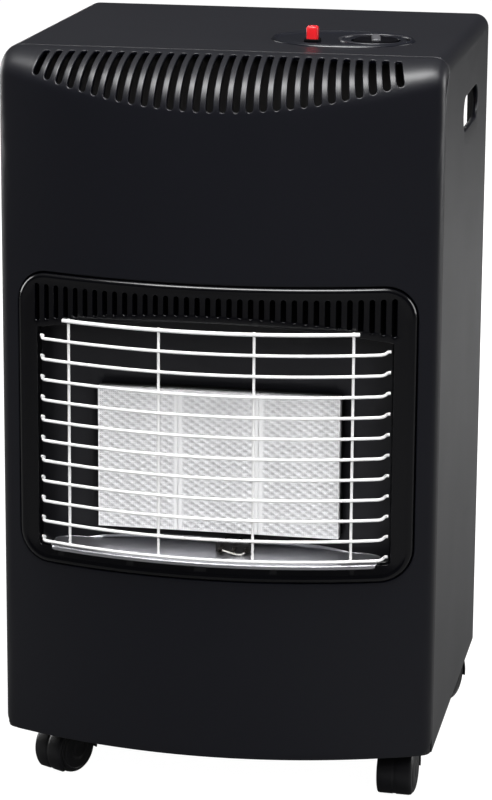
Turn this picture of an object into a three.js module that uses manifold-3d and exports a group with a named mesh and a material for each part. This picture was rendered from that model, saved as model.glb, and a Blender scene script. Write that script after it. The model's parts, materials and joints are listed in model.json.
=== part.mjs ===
// A portable gas cabinet heater on four twin-wheel casters: a wrapped sheet cabinet with a bowed
// front panel, a black burner bezel behind a bowed wire guard, three ceramic plaques, the gas
// train that feeds them, the controls on the top and a lift-off rear cover over the bottle bay.
//
// Millimetres, +Z up. X is the width, and the front faces -Y. The origin is on the floor, in the
// middle of the object's overall width and depth.

import * as THREE from 'three';
import { mergeVertices } from 'three/addons/utils/BufferGeometryUtils.js';
import Module from 'manifold-3d';

const wasm = await Module();
wasm.setup();

// ---------------------------------------------------------------------------------------------
// Driving dimensions
// ---------------------------------------------------------------------------------------------

const gap = 0.3; // clearance between pieces that seat on each other
const cutMargin = 10; // how far a cutter runs past what it cuts

// Cabinet. Depths are measured from the middle of the side walls.
const cabinetWidth = 420;
const sideDepth = 360;
const cabinetTop = 730;
const skirtBottom = 61;
const sheet = 1;
const topFoldRadius = 14;
const rearFlange = 20;
const handHoldLength = 120;
const handHoldHeight = 34;
const handHoldY = 34;
const handHoldZ = 656;

// Front panel
const frontBow = 47.3;
const bowSteps = 14;
const cornerRun = 8;
const topSeamSetback = 29;
const shoulderHeightMiddle = 50;
const shoulderHeightEnd = 25;
const shoulderSteps = 4;
const panelSeam = 0.4;
const louvreCount = 29;
const louvreWidth = 6.5;
const louvreTopMargin = 46;
const louvreBottomMargin = 37;
const louvreTopSpread = cabinetWidth / 2 - louvreTopMargin;
const louvreBottomSpread = cabinetWidth / 2 - louvreBottomMargin;
const louvreTopSetback = 16;
const louvreBottomMiddle = 682;
const louvreBottomRise = 25;

// Burner bezel
const bezelMargin = 20;
const bezelWidth = cabinetWidth - 2 * bezelMargin;
const bezelBottom = 239;
const bezelTop = 522;
const bezelCorner = 30;
const bezelProud = 4;
const bezelPlate = 2;
const bezelRim = 2.5;
const bezelSkirt = 12;
const bezelGroove = 0.6;
const openingMargin = 20;
const openingWidth = bezelWidth - 2 * openingMargin;
const openingBottom = 256;
const openingCorner = 5;
const archTop = 487;
const archFall = 18;
const bezelSlotPitch = 10;
const bezelSlotCount = Math.floor(openingWidth / bezelSlotPitch) + 1;
const bezelSlotWidth = 5;
const bezelSlotTop = 512;
const bezelSlotLand = 6;

// Wire guard
const wireCount = 12;
const wireRadius = 1.65;
const topWireRadius = 2;
const wireTop = 481;
const wireBottom = 263;
const wireStandOff = 10;
const wireBow = 37;
const wireBowHalfWidth = 180;
const wireTurn = 8; // from the opening's side in to where a wire starts to turn back
const wireSeatDepth = 2; // behind the panel's face
const wireFoot = 3;
const wireSteps = 8;
const uprightCount = 4;
const uprightPitch = 90;
const uprightRadius = 1.4;
const topWirePast = 5.5; // how far the top wire runs on past the last upright
const weldDepth = 0.4;

// Plaques and burner boxes
const plaqueCount = 3;
const plaqueWidth = 77.6;
const plaqueHeight = 138.3;
const plaqueThickness = 13;
const plaquePitch = 78;
const plaqueBottom = 270.8;
const plaqueFront = -177;
const boxDepth = 22;
const boxWall = 1.5;
const venturiRadius = 9;
const venturiWall = 1.5;
const venturiBottom = 279;
const venturiTop = 396;

// Burner surround and lower reflector
const surroundWall = 1.2;
const surroundBack = -160;
const shieldSheet = 1;
const shieldY = -158;
const shieldTop = 722;
const shieldMargin = 14;
const shieldFootLength = 300;
const shieldFootDepth = 12;
const reflectorMargin = 12;
const reflectorWidth = openingWidth - 2 * reflectorMargin;
const reflectorSheet = 1;
const reflectorLip = 4.3;
const reflectorRear = -163;

// Pilot group
const pilotX = 20;
const pilotPitch = 12;
const pilotRise = 5.2; // above the opening's sill
const pilotHeight = openingBottom + pilotRise;
const pilotRadius = 2.6;
const thermocoupleRadius = 2;
const electrodeRadius = 1.8;
const electrodeTipRadius = 0.8;
const pilotReach = 205;
const pilotRear = -150;
const pilotBracketY = -196;
const pilotBracketHeight = 9;
const electrodeSleeve = 4; // how far the sleeve stands out of the bracket

// Gas train
const injectorRadius = 5;
const injectorNose = 3.2;
const injectorHeight = 12;
const injectorNoseLength = 5;
const pipeRadius = 3;
const pipeDrop = 9;
const pipeBend = 10;
const gasRiserX = 126;
const gasRiserPitch = 10;
const gasPipeInlet = 672;
const pilotRiserX = 168;
const pilotRiserPitch = 8;
const pilotRunY = -144;
const pilotRunHeight = 232;
const pilotPipeRadius = 2;
const leadRadius = 1.5;
const leadHeight = 702;

// Controls
const knobX = 127.5;
const knobY = -54;
const knobRadius = 21.5;
const knobHeight = 13.7;
const knobTop = 735;
const knobGripWidth = 8;
const knobGripRise = 3;
const knobTravel = 4;
const knobWellClearance = 0.5;
const wellWall = 2;
const wellFloor = 1.5;
const escutcheonX = 96;
const escutcheonY = -54;
const escutcheonWidth = 138;
const escutcheonDepth = 108;
const escutcheonThickness = 2.4;
const buttonX = 70;
const buttonY = -76;
const buttonSize = 13;
const buttonRise = 13;
const buttonTravel = 5;
const buttonClearance = 0.4;
const piezoSize = 20;
const piezoBottom = 690;
const spindleRadius = 4;
const collarRadius = 7;
const collarHeight = 7;
const collarBottom = 705;
const valveWidth = 60;
const valveDepth = 40;
const valveBottom = 650;
const valveTop = 694;
const bonnetRadius = 9;
const bonnetHeight = 4;
const spindleSeat = 6;
const spindleRecess = 4;
const bracketSheet = 1.5;
const bracketWidth = 66;
const bracketDepth = 44;
const nozzleRadius = 5;
const nozzleBore = 2;
const nozzleLength = 32;
const nozzleBarbs = 3;

// Base tray, partition and rear cover
const traySheet = 1.2;
const trayFlange = 25;
const socketRadius = 9;
const socketHeight = 20;
const ledgeWidth = 300;
const ledgeDepth = 6;
const ledgeRise = 8;
const partitionY = -108;
const partitionTop = 640;
const partitionFoot = 12;
const coverSheet = 1.2;
const coverWidth = 372;
const coverLip = 12;
const coverBulge = 30;
const coverTop = 560;
const coverSlotCount = 6;
const coverSlotLength = 120;
const coverSlotHeight = 6;
const coverSlotPitch = 16;
const coverSlotBottom = 110;

// Casters
const casterSideMargin = 38.5;
const casterEndMargin = 37;
const casterX = cabinetWidth / 2 - casterSideMargin;
const casterY = sideDepth / 2 - casterEndMargin;
const casterTrail = 18;
const wheelRadius = 25;
const wheelWidth = 14.6;
const wheelSegments = 20;
const wheelShoulder = 4;
const webThickness = 6;
const hoodInner = 26;
const hoodOuter = 28.5;
const hoodWidth = 35;
const hoodEndAngle = -0.2;
const axleRadius = 4;
const stemRadius = 5;
const stemCollarRadius = 8;
const runningGap = 0.4;
const frontLeftSwivel = -30;
const frontRightSwivel = -3;
const rearLeftSwivel = 20;
const rearRightSwivel = -20;

// ---------------------------------------------------------------------------------------------
// Materials
// ---------------------------------------------------------------------------------------------

const finish = (color, roughness, metalness) => new THREE.MeshStandardMaterial({ color, roughness, metalness });
const blackCoat = finish(0x1c1c1f, 0.5, 0.1);
const blackEnamel = finish(0x101012, 0.35, 0.1);
const whiteEnamel = finish(0xe8e8e6, 0.35, 0);
const ceramic = finish(0xdedcd6, 0.9, 0);
const polishedSteel = finish(0xb8babc, 0.2, 1);
const brightSteel = finish(0x9a9c9e, 0.4, 1);
const darkSteel = finish(0x2a2a2c, 0.6, 0.6);
const brass = finish(0xb58a3c, 0.35, 1);
const copper = finish(0xb06a42, 0.35, 1);
const blackPlastic = finish(0x151517, 0.4, 0);
const greyPlastic = finish(0x2c2c2e, 0.55, 0);
const redPlastic = finish(0xc81e1e, 0.3, 0);
const leadSleeve = finish(0xd8d8d2, 0.6, 0);

// ---------------------------------------------------------------------------------------------
// Solids: closed meshes that can be joined and cut
// ---------------------------------------------------------------------------------------------

function toSolid(geometry) {
  const plain = geometry.clone();
  plain.deleteAttribute('normal');
  plain.deleteAttribute('uv');
  const merged = mergeVertices(plain, 1e-4);
  const vertProperties = new Float32Array(merged.attributes.position.array);
  const triVerts = new Uint32Array(merged.index.array);
  return new wasm.Manifold(new wasm.Mesh({ numProp: 3, vertProperties, triVerts }));
}

function toGeometry(solid) {
  const result = solid.getMesh();
  const geometry = new THREE.BufferGeometry();
  geometry.setAttribute('position', new THREE.BufferAttribute(new Float32Array(result.vertProperties), 3));
  geometry.setIndex(new THREE.BufferAttribute(new Uint32Array(result.triVerts), 1));
  geometry.computeVertexNormals();
  return geometry;
}

function piece(name, solid, material) {
  const mesh = new THREE.Mesh(toGeometry(solid), material);
  mesh.name = name;
  return mesh;
}

const joined = (solids) => solids.reduce((whole, solid) => whole.add(solid));
const cut = (solid, cutters) => cutters.reduce((whole, cutter) => whole.subtract(cutter), solid);

function outline(points) {
  return new THREE.Shape(points.map(([x, y]) => new THREE.Vector2(x, y)));
}

function extruded(shape, depth, curveSegments = 6) {
  return new THREE.ExtrudeGeometry(shape, { depth, bevelEnabled: false, curveSegments });
}

// A shape drawn in plan, raised from one height to another.
function planPrism(shape, bottom, top, curveSegments) {
  return toSolid(extruded(shape, top - bottom, curveSegments).translate(0, 0, bottom));
}

// A shape drawn in the front view as (x, z), running from one depth to another.
function frontPrism(shape, near, far, curveSegments) {
  const geometry = extruded(shape, far - near, curveSegments);
  return toSolid(geometry.rotateX(Math.PI / 2).translate(0, far, 0));
}

// A shape drawn in the side view as (y, z), running from one x to another.
function sidePrism(shape, left, right, curveSegments) {
  const turn = new THREE.Matrix4().makeBasis(
    new THREE.Vector3(0, 1, 0),
    new THREE.Vector3(0, 0, 1),
    new THREE.Vector3(1, 0, 0),
  );
  return toSolid(extruded(shape, right - left, curveSegments).applyMatrix4(turn).translate(left, 0, 0));
}

function box(left, right, near, far, bottom, top) {
  const geometry = new THREE.BoxGeometry(right - left, far - near, top - bottom);
  return toSolid(geometry.translate((left + right) / 2, (near + far) / 2, (bottom + top) / 2));
}

function uprightRod(x, y, bottom, top, radius, sides) {
  const geometry = new THREE.CylinderGeometry(radius, radius, top - bottom, sides);
  return toSolid(geometry.rotateX(Math.PI / 2).translate(x, y, (bottom + top) / 2));
}

function depthRod(x, z, near, far, radius, sides) {
  const geometry = new THREE.CylinderGeometry(radius, radius, far - near, sides);
  return toSolid(geometry.translate(x, (near + far) / 2, z));
}

function crossRod(y, z, left, right, radius, sides) {
  const geometry = new THREE.CylinderGeometry(radius, radius, right - left, sides);
  return toSolid(geometry.rotateZ(Math.PI / 2).translate((left + right) / 2, y, z));
}

// A route that is sampled exactly at its listed points.
class Route extends THREE.Curve {
  constructor(points) {
    super();
    this.points = points;
  }

  getUtoTmapping(u) {
    return u;
  }

  getPoint(t) {
    const place = t * (this.points.length - 1);
    const start = Math.min(Math.floor(place), this.points.length - 2);
    return this.points[start].clone().lerp(this.points[start + 1], place - start);
  }
}

function tubeAlong(points, radius, sides) {
  const section = new THREE.Shape();
  for (let side = 0; side < sides; side += 1) {
    const angle = (2 * Math.PI * side) / sides;
    const point = [radius * Math.cos(angle), radius * Math.sin(angle)];
    if (side === 0) section.moveTo(...point);
    else section.lineTo(...point);
  }
  const extrudePath = new Route(points);
  const steps = points.length - 1;
  return toSolid(new THREE.ExtrudeGeometry(section, { extrudePath, steps, bevelEnabled: false }));
}

// Corner points of a pipe run, each corner replaced by three points of its bend.
function bentRoute(corners, bend) {
  const points = corners.map((corner) => new THREE.Vector3(...corner));
  const route = [points[0]];
  for (let index = 1; index < points.length - 1; index += 1) {
    const before = points[index].clone().add(directionTo(points[index], points[index - 1]).multiplyScalar(bend));
    const after = points[index].clone().add(directionTo(points[index], points[index + 1]).multiplyScalar(bend));
    const curve = new THREE.QuadraticBezierCurve3(before, points[index], after);
    route.push(...curve.getPoints(3));
  }
  route.push(points[points.length - 1]);
  return route;
}

function directionTo(from, to) {
  return to.clone().sub(from).normalize();
}

function centredRow(count, pitch) {
  return Array.from({ length: count }, (_, index) => (index - (count - 1) / 2) * pitch);
}

// ---------------------------------------------------------------------------------------------
// Cabinet envelope: bowed front, rounded shoulder and folded top edges
// ---------------------------------------------------------------------------------------------

function bowFraction(x) {
  return Math.max(0, 1 - ((2 * x) / cabinetWidth) ** 2);
}

function faceY(x) {
  return -sideDepth / 2 - frontBow * bowFraction(x);
}

function bowStations(reach = cabinetWidth / 2 - cornerRun) {
  return Array.from({ length: bowSteps + 1 }, (_, index) => reach * ((2 * index) / bowSteps - 1));
}

// Plan outline of the cabinet, drawn inside the real one by the inset.
function planOutline(inset, rear) {
  const half = cabinetWidth / 2 - inset;
  const cornerY = faceY(cabinetWidth / 2) + inset;
  const stations = bowStations(half - cornerRun);
  const shape = new THREE.Shape();
  shape.moveTo(-half, rear);
  shape.lineTo(-half, cornerY + cornerRun);
  shape.quadraticCurveTo(-half, cornerY, stations[0], faceY(stations[0]) + inset);
  stations.slice(1).forEach((x) => shape.lineTo(x, faceY(x) + inset));
  shape.quadraticCurveTo(half, cornerY, half, cornerY + cornerRun);
  shape.lineTo(half, rear);
  return shape;
}

// Front view of the cabinet with its two folded top edges.
function foldOutline(inset, bottom) {
  const half = cabinetWidth / 2 - inset;
  const top = cabinetTop - inset;
  const fold = topFoldRadius - inset;
  const shape = new THREE.Shape();
  shape.moveTo(-half, bottom);
  shape.lineTo(half, bottom);
  shape.lineTo(half, top - fold);
  shape.absarc(half - fold, top - fold, fold, 0, Math.PI / 2);
  shape.lineTo(-half + fold, top);
  shape.absarc(-half + fold, top - fold, fold, Math.PI / 2, Math.PI);
  return shape;
}

function shoulderHeight(x) {
  return shoulderHeightEnd + (shoulderHeightMiddle - shoulderHeightEnd) * bowFraction(x);
}

const topSeamY = -sideDepth / 2 + topSeamSetback;

// Side view of the shoulder at one x: flat top, quarter ellipse, upright face.
function shoulderProfile(x, inset, bottom, rear) {
  const depth = topSeamY - faceY(x) - inset + gap;
  const height = shoulderHeight(x) - inset;
  const profile = [[rear, bottom], [rear, cabinetTop - inset]];
  for (let step = 0; step <= shoulderSteps; step += 1) {
    const angle = (Math.PI / 2) * (step / shoulderSteps);
    profile.push([topSeamY - depth * Math.sin(angle), cabinetTop - inset - height * (1 - Math.cos(angle))]);
  }
  profile.push([topSeamY - depth, bottom]);
  return profile;
}

// A closed skin through rings of equal length, with flat fans at both ends.
function lofted(rings) {
  const ringLength = rings[0].length;
  const positions = rings.flat(2);
  const triangles = [];
  for (let ring = 0; ring < rings.length - 1; ring += 1) {
    for (let index = 0; index < ringLength; index += 1) {
      const next = (index + 1) % ringLength;
      const [a, b] = [ring * ringLength + index, ring * ringLength + next];
      const [c, d] = [a + ringLength, b + ringLength];
      triangles.push(a, b, c, b, d, c);
    }
  }
  const last = (rings.length - 1) * ringLength;
  for (let index = 1; index < ringLength - 1; index += 1) {
    triangles.push(0, index + 1, index);
    triangles.push(last, last + index, last + index + 1);
  }
  const geometry = new THREE.BufferGeometry();
  geometry.setAttribute('position', new THREE.Float32BufferAttribute(positions, 3));
  geometry.setIndex(triangles);
  return toSolid(geometry);
}

function shoulderBlock(inset, bottom, rear) {
  const end = cabinetWidth / 2 + cutMargin;
  const stations = [-end, ...bowStations(), end];
  return lofted(stations.map((x) => shoulderProfile(x, inset, bottom, rear).map(([y, z]) => [x, y, z])));
}

function envelope(inset, bottom) {
  const rear = sideDepth / 2 - inset;
  const front = -sideDepth / 2 - frontBow - cutMargin;
  const plan = planPrism(planOutline(inset, rear), bottom, cabinetTop, 4);
  const folds = frontPrism(foldOutline(inset, bottom), front, rear, 4);
  return plan.intersect(folds).intersect(shoulderBlock(inset, bottom - 1, rear + 1));
}

// Region in front of the seam between the front panel and the wrapped sheet.
function seamRegion(setback) {
  const sideSeam = faceY(cabinetWidth / 2) + cornerRun + setback;
  const topSeam = topSeamY + setback;
  const radius = topSeam - sideSeam;
  const front = -sideDepth / 2 - frontBow - cutMargin;
  const shape = new THREE.Shape();
  shape.moveTo(front, 0);
  shape.lineTo(sideSeam, 0);
  shape.lineTo(sideSeam, cabinetTop - radius);
  shape.absarc(topSeam, cabinetTop - radius, radius, Math.PI, Math.PI / 2, true);
  shape.lineTo(topSeam, cabinetTop + cutMargin);
  shape.lineTo(front, cabinetTop + cutMargin);
  return sidePrism(shape, -cabinetWidth, cabinetWidth, 4);
}

const cabinetSkin = envelope(0, skirtBottom).subtract(envelope(sheet, skirtBottom - cutMargin));

// A slot with round ends, drawn about its own middle.
function stadium(length, height) {
  const radius = height / 2;
  const reach = length / 2 - radius;
  const shape = new THREE.Shape();
  shape.moveTo(-reach, -radius);
  shape.lineTo(reach, -radius);
  shape.absarc(reach, 0, radius, -Math.PI / 2, Math.PI / 2);
  shape.lineTo(-reach, radius);
  shape.absarc(-reach, 0, radius, Math.PI / 2, (3 * Math.PI) / 2);
  return shape;
}

const wellRadius = knobRadius + knobWellClearance;
const wellOuter = wellRadius + wellWall;
const buttonHole = buttonSize / 2 + buttonClearance;

function cabinetShell() {
  const rearInner = cabinetWidth / 2 - rearFlange;
  const handHold = sidePrism(stadium(handHoldLength, handHoldHeight), -cabinetWidth, cabinetWidth, 4);
  return cut(cabinetSkin, [
    seamRegion(panelSeam),
    box(-rearInner, rearInner, 0, sideDepth, skirtBottom - cutMargin, cabinetTop - rearFlange),
    handHold.translate([0, handHoldY, handHoldZ]),
    uprightRod(knobX, knobY, cabinetTop - cutMargin, cabinetTop + cutMargin, wellOuter + gap, 20),
    box(
      buttonX - buttonHole,
      buttonX + buttonHole,
      buttonY - buttonHole,
      buttonY + buttonHole,
      cabinetTop - cutMargin,
      cabinetTop + cutMargin,
    ),
  ]);
}

// ---------------------------------------------------------------------------------------------
// Front panel
// ---------------------------------------------------------------------------------------------

function bezelOutline(grow) {
  return roundedRectangle(bezelWidth + 2 * grow, bezelBottom - grow, bezelTop + grow, bezelCorner + grow);
}

function roundedRectangle(width, bottom, top, radius) {
  const half = width / 2;
  const shape = new THREE.Shape();
  shape.moveTo(-half + radius, bottom);
  shape.lineTo(half - radius, bottom);
  shape.absarc(half - radius, bottom + radius, radius, -Math.PI / 2, 0);
  shape.lineTo(half, top - radius);
  shape.absarc(half - radius, top - radius, radius, 0, Math.PI / 2);
  shape.lineTo(-half + radius, top);
  shape.absarc(-half + radius, top - radius, radius, Math.PI / 2, Math.PI);
  shape.lineTo(-half, bottom + radius);
  shape.absarc(-half + radius, bottom + radius, radius, Math.PI, (3 * Math.PI) / 2);
  return shape;
}

// One fanned louvre: a cutter that runs forward from the top of the shoulder, down to its foot.
function louvreCutter(share) {
  const bottomX = share * louvreBottomSpread;
  const topX = share * louvreTopSpread;
  const foot = louvreBottomMiddle + louvreBottomRise * share ** 2;
  const rear = topSeamY - louvreTopSetback;
  const run = rear - faceY(bottomX);
  const half = louvreWidth / 2;
  const head = cabinetTop + cutMargin;
  const section = outline([[-half, head], [-half, foot], [half, foot], [half, head]]);
  const turn = (Math.atan2(bottomX - topX, run) * 180) / Math.PI;
  return frontPrism(section, -run - cutMargin, 0).rotate([0, 0, turn]).translate([topX, rear, 0]);
}

function frontPanel() {
  const near = -sideDepth / 2 - frontBow - cutMargin;
  const window = frontPrism(bezelOutline(bezelGroove), near, topSeamY, 5);
  const shares = centredRow(louvreCount, 2 / (louvreCount - 1));
  return cut(cabinetSkin.intersect(seamRegion(0)), [window, ...shares.map(louvreCutter)]);
}

// ---------------------------------------------------------------------------------------------
// Burner bezel and wire guard
// ---------------------------------------------------------------------------------------------

// A curved slab that follows the bow between two offsets from the panel's face.
function bowedSlab(near, far, bottom, top) {
  const stations = bowStations(cabinetWidth / 2);
  const front = stations.map((x) => [x, faceY(x) + near]);
  const back = stations.map((x) => [x, faceY(x) + far]).reverse();
  return planPrism(outline([...front, ...back]), bottom, top);
}

function archHeight(x) {
  return archTop - archFall * (x / (bezelSlotPitch * ((bezelSlotCount - 1) / 2))) ** 2;
}

function openingOutline(grow) {
  const half = openingWidth / 2 + grow;
  const bottom = openingBottom - grow;
  const radius = openingCorner + grow;
  const steps = bowSteps / 2;
  const shape = new THREE.Shape();
  shape.moveTo(-half + radius, bottom);
  shape.lineTo(half - radius, bottom);
  shape.absarc(half - radius, bottom + radius, radius, -Math.PI / 2, 0);
  for (let step = 0; step <= steps; step += 1) {
    const x = half * (1 - (2 * step) / steps);
    shape.lineTo(x, archHeight(x) + grow);
  }
  shape.lineTo(-half, bottom + radius);
  shape.absarc(-half + radius, bottom + radius, radius, Math.PI, (3 * Math.PI) / 2);
  return shape;
}

function bezelSlot(x) {
  const half = bezelSlotWidth / 2;
  const foot = archHeight(x) + bezelSlotLand;
  const near = -sideDepth / 2 - frontBow - cutMargin;
  return box(x - half, x + half, near, near / 2, foot, bezelSlotTop);
}

function burnerBezel() {
  const near = -sideDepth / 2 - frontBow - cutMargin;
  const inFront = (shape) => frontPrism(shape, near, near / 2, 5);
  const plate = bowedSlab(-bezelProud, bezelPlate - bezelProud, 0, cabinetTop);
  const skirt = bowedSlab(-bezelProud, bezelSkirt - bezelProud, 0, cabinetTop);
  const rim = inFront(bezelOutline(0)).subtract(inFront(bezelOutline(-bezelRim)));
  const lip = inFront(openingOutline(bezelPlate));
  const body = plate.intersect(inFront(bezelOutline(0))).add(skirt.intersect(rim.add(lip)));
  const slots = centredRow(bezelSlotCount, bezelSlotPitch).map(bezelSlot);
  return cut(body, [inFront(openingOutline(0)), ...slots]);
}

const wireFront = -sideDepth / 2 - frontBow - bezelProud - wireStandOff;

function wireY(x) {
  return wireFront + wireBow * (x / wireBowHalfWidth) ** 2;
}

function bowedWire(z, reach) {
  return Array.from({ length: wireSteps + 1 }, (_, index) => {
    const x = reach * ((2 * index) / wireSteps - 1);
    return new THREE.Vector3(x, wireY(x), z);
  });
}

// One bowed wire whose ends turn back into the opening and outward onto the bezel's lip.
function guardWire(z) {
  const side = openingWidth / 2;
  const seatY = faceY(side) + wireSeatDepth;
  const bowed = bowedWire(z, side - wireTurn);
  const turned = [-1, 1].map((hand) => {
    return [side - gap, side - gap - wireFoot].map((x) => new THREE.Vector3(hand * x, seatY, z));
  });
  return tubeAlong([...turned[0], ...bowed, ...turned[1].reverse()], wireRadius, 5);
}

function wireGuard() {
  const topReach = (uprightPitch * (uprightCount - 1)) / 2 + topWirePast;
  const topWire = tubeAlong(bowedWire(wireTop, topReach), topWireRadius, 5);
  const wires = Array.from({ length: wireCount - 1 }, (_, index) => {
    return guardWire(wireTop - ((index + 1) * (wireTop - wireBottom)) / (wireCount - 1));
  });
  const uprights = centredRow(uprightCount, uprightPitch).map((x) => {
    const y = wireY(x) + wireRadius + uprightRadius - weldDepth;
    return uprightRod(x, y, wireBottom - wireRadius, wireTop + wireRadius, uprightRadius, 5);
  });
  return joined([topWire, ...wires, ...uprights]);
}

// ---------------------------------------------------------------------------------------------
// Burner: surround, reflector, plaques and boxes
// ---------------------------------------------------------------------------------------------

const surroundInset = bezelRim + gap;
const plaqueXs = centredRow(plaqueCount, plaquePitch);
const plaqueRear = plaqueFront + plaqueThickness;
const boxFront = plaqueRear + gap;
const boxRear = boxFront + boxDepth;
const venturiY = boxRear - boxWall + venturiRadius;
const pilotXs = centredRow(3, pilotPitch).map((x) => x + pilotX);

function pilotHoles(near, far) {
  const radii = [pilotRadius, thermocoupleRadius, electrodeRadius];
  return pilotXs.map((x, index) => depthRod(x, pilotHeight, near, far, radii[index] + gap, 8));
}

// An upright sheet behind the louvres, which stands on the surround's top and turns the hot air out.
function heatShield() {
  const half = cabinetWidth / 2 - shieldMargin;
  const bottom = bezelTop - surroundInset + gap;
  const footHalf = shieldFootLength / 2;
  const plate = box(-half, half, shieldY, shieldY + shieldSheet, bottom, shieldTop);
  const foot = box(-footHalf, footHalf, shieldY - shieldFootDepth, shieldY + shieldSheet, bottom, bottom + shieldSheet);
  return plate.add(foot);
}

// A rounded pan, open to the front, that nests inside the bezel's skirt and frames the plaques.
function burnerSurround() {
  const rear = surroundBack + surroundWall;
  const plaquesHalf = (plaquePitch * (plaqueCount - 1) + plaqueWidth) / 2 + gap;
  const near = -sideDepth / 2 - frontBow - cutMargin;
  const outer = frontPrism(bezelOutline(-surroundInset), near, rear, 5);
  const inner = frontPrism(bezelOutline(-surroundInset - surroundWall), near - 1, surroundBack, 5);
  const beyondBezel = bowedSlab(-frontBow - cutMargin, bezelPlate - bezelProud + gap, 0, cabinetTop);
  const plaqueWindow = box(
    -plaquesHalf,
    plaquesHalf,
    plaqueFront,
    rear + 1,
    plaqueBottom - gap,
    plaqueBottom + plaqueHeight + gap,
  );
  return cut(outer, [inner, beyondBezel, plaqueWindow, ...pilotHoles(plaqueFront, rear + 1)]);
}

// A flat shelf under the plaques whose bowed front edge hooks over the bezel's lower lip.
function lowerReflector() {
  const half = reflectorWidth / 2;
  const bottom = openingBottom + gap;
  const top = bottom + reflectorSheet;
  const lipFront = -bezelProud - gap - reflectorSheet;
  const near = -sideDepth / 2 - frontBow - cutMargin;
  const shelf = box(-half, half, near, reflectorRear, bottom, top);
  const beyondLip = bowedSlab(-frontBow - cutMargin, lipFront, 0, cabinetTop);
  const lip = bowedSlab(lipFront, lipFront + reflectorSheet, top - reflectorLip, top);
  return shelf.subtract(beyondLip).add(lip.intersect(box(-half, half, near, 0, 0, cabinetTop)));
}

function plaque(x) {
  const half = plaqueWidth / 2;
  return box(x - half, x + half, plaqueFront, plaqueRear, plaqueBottom, plaqueBottom + plaqueHeight);
}

// A shallow box open to the plaque, with a mixing tube on its back that is open at the foot.
function burnerBox(x) {
  const half = plaqueWidth / 2;
  const [bottom, top] = [plaqueBottom, plaqueBottom + plaqueHeight];
  const outer = box(x - half, x + half, boxFront, boxRear, bottom, top);
  const inner = box(
    x - half + boxWall,
    x + half - boxWall,
    boxFront - 1,
    boxRear - boxWall,
    bottom + boxWall,
    top - boxWall,
  );
  const tube = uprightRod(x, venturiY, venturiBottom, venturiTop, venturiRadius, 12);
  const bore = uprightRod(
    x,
    venturiY,
    venturiBottom - 1,
    venturiTop - venturiWall,
    venturiRadius - venturiWall,
    12,
  );
  return outer.subtract(inner).add(tube.subtract(bore).subtract(inner));
}

// ---------------------------------------------------------------------------------------------
// Gas train
// ---------------------------------------------------------------------------------------------

const injectorTop = venturiBottom - gap;
const injectorBottom = injectorTop - injectorHeight;

function injector(x) {
  const hexagon = uprightRod(x, venturiY, injectorBottom, injectorTop, injectorRadius, 6);
  const nose = uprightRod(x, venturiY, injectorTop - 1, injectorTop + injectorNoseLength, injectorNose, 8);
  return hexagon.add(nose);
}

const valveLeft = knobX - valveWidth / 2;
const valveRight = knobX + valveWidth / 2;
const valveNear = knobY - valveDepth / 2;
const valveFar = knobY + valveDepth / 2;

// From an injector down, across under the burner boxes, up beside them and back to the valve.
function gasPipe(x, index) {
  const order = plaqueCount - 1 - index;
  const runZ = injectorBottom - pipeDrop * (order + 1) - pipeRadius;
  const riserX = gasRiserX + gasRiserPitch * order;
  const corners = [
    [x, venturiY, injectorBottom - gap],
    [x, venturiY, runZ],
    [riserX, venturiY, runZ],
    [riserX, venturiY, gasPipeInlet],
    [riserX, valveNear - gap, gasPipeInlet],
  ];
  return tubeAlong(bentRoute(corners, pipeBend * 0.6), pipeRadius, 6);
}

// The three runs that leave the pilot group go down, across and up in one plane, nested so that
// none crosses another.
function pilotRiser(index) {
  return pilotRiserX + pilotRiserPitch * (pilotXs.length - 1 - index);
}

function pilotRun(index, height, tail) {
  const x = pilotXs[index];
  const runZ = pilotRunHeight - pilotRiserPitch * (pilotXs.length - 1 - index);
  const riserX = pilotRiser(index);
  return [
    [x, pilotRear + gap, pilotHeight],
    [x, pilotRunY, pilotHeight],
    [x, pilotRunY, runZ],
    [riserX, pilotRunY, runZ],
    [riserX, pilotRunY, height],
    ...tail,
  ];
}

function pilotPipe() {
  const riserX = pilotRiser(0);
  const height = gasPipeInlet + pilotRiserPitch;
  const tail = [[riserX, knobY, height], [valveRight + gap, knobY, height]];
  return tubeAlong(bentRoute(pilotRun(0, height, tail), pipeBend / 2), pilotPipeRadius, 5);
}

function thermocouple() {
  const riserX = pilotRiser(1);
  const height = gasPipeInlet;
  const near = knobY - pilotRiserPitch;
  const tail = [[riserX, near, height], [valveRight + gap, near, height]];
  const lead = tubeAlong(bentRoute(pilotRun(1, height, tail), pipeBend / 2), leadRadius, 5);
  return lead.add(depthRod(pilotXs[1], pilotHeight, -pilotReach, pilotRear + 2 * gap, thermocoupleRadius, 8));
}

function igniterLead() {
  const tail = [[buttonX, pilotRunY, leadHeight], [buttonX, buttonY - piezoSize / 2 - gap, leadHeight]];
  return tubeAlong(bentRoute(pilotRun(2, leadHeight, tail), pipeBend / 2), leadRadius, 5);
}

function pilotBurner() {
  const tube = depthRod(pilotXs[0], pilotHeight, -pilotReach, pilotRear, pilotRadius, 8);
  const mouth = depthRod(pilotXs[0], pilotHeight, -pilotReach - 1, -pilotReach + cutMargin, pilotRadius / 2, 8);
  return tube.subtract(mouth);
}

function ignitionElectrode() {
  const sleeve = depthRod(pilotXs[2], pilotHeight, pilotBracketY - electrodeSleeve, pilotRear, electrodeRadius, 8);
  return sleeve.add(depthRod(pilotXs[2], pilotHeight, -pilotReach, pilotBracketY, electrodeTipRadius, 6));
}

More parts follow.
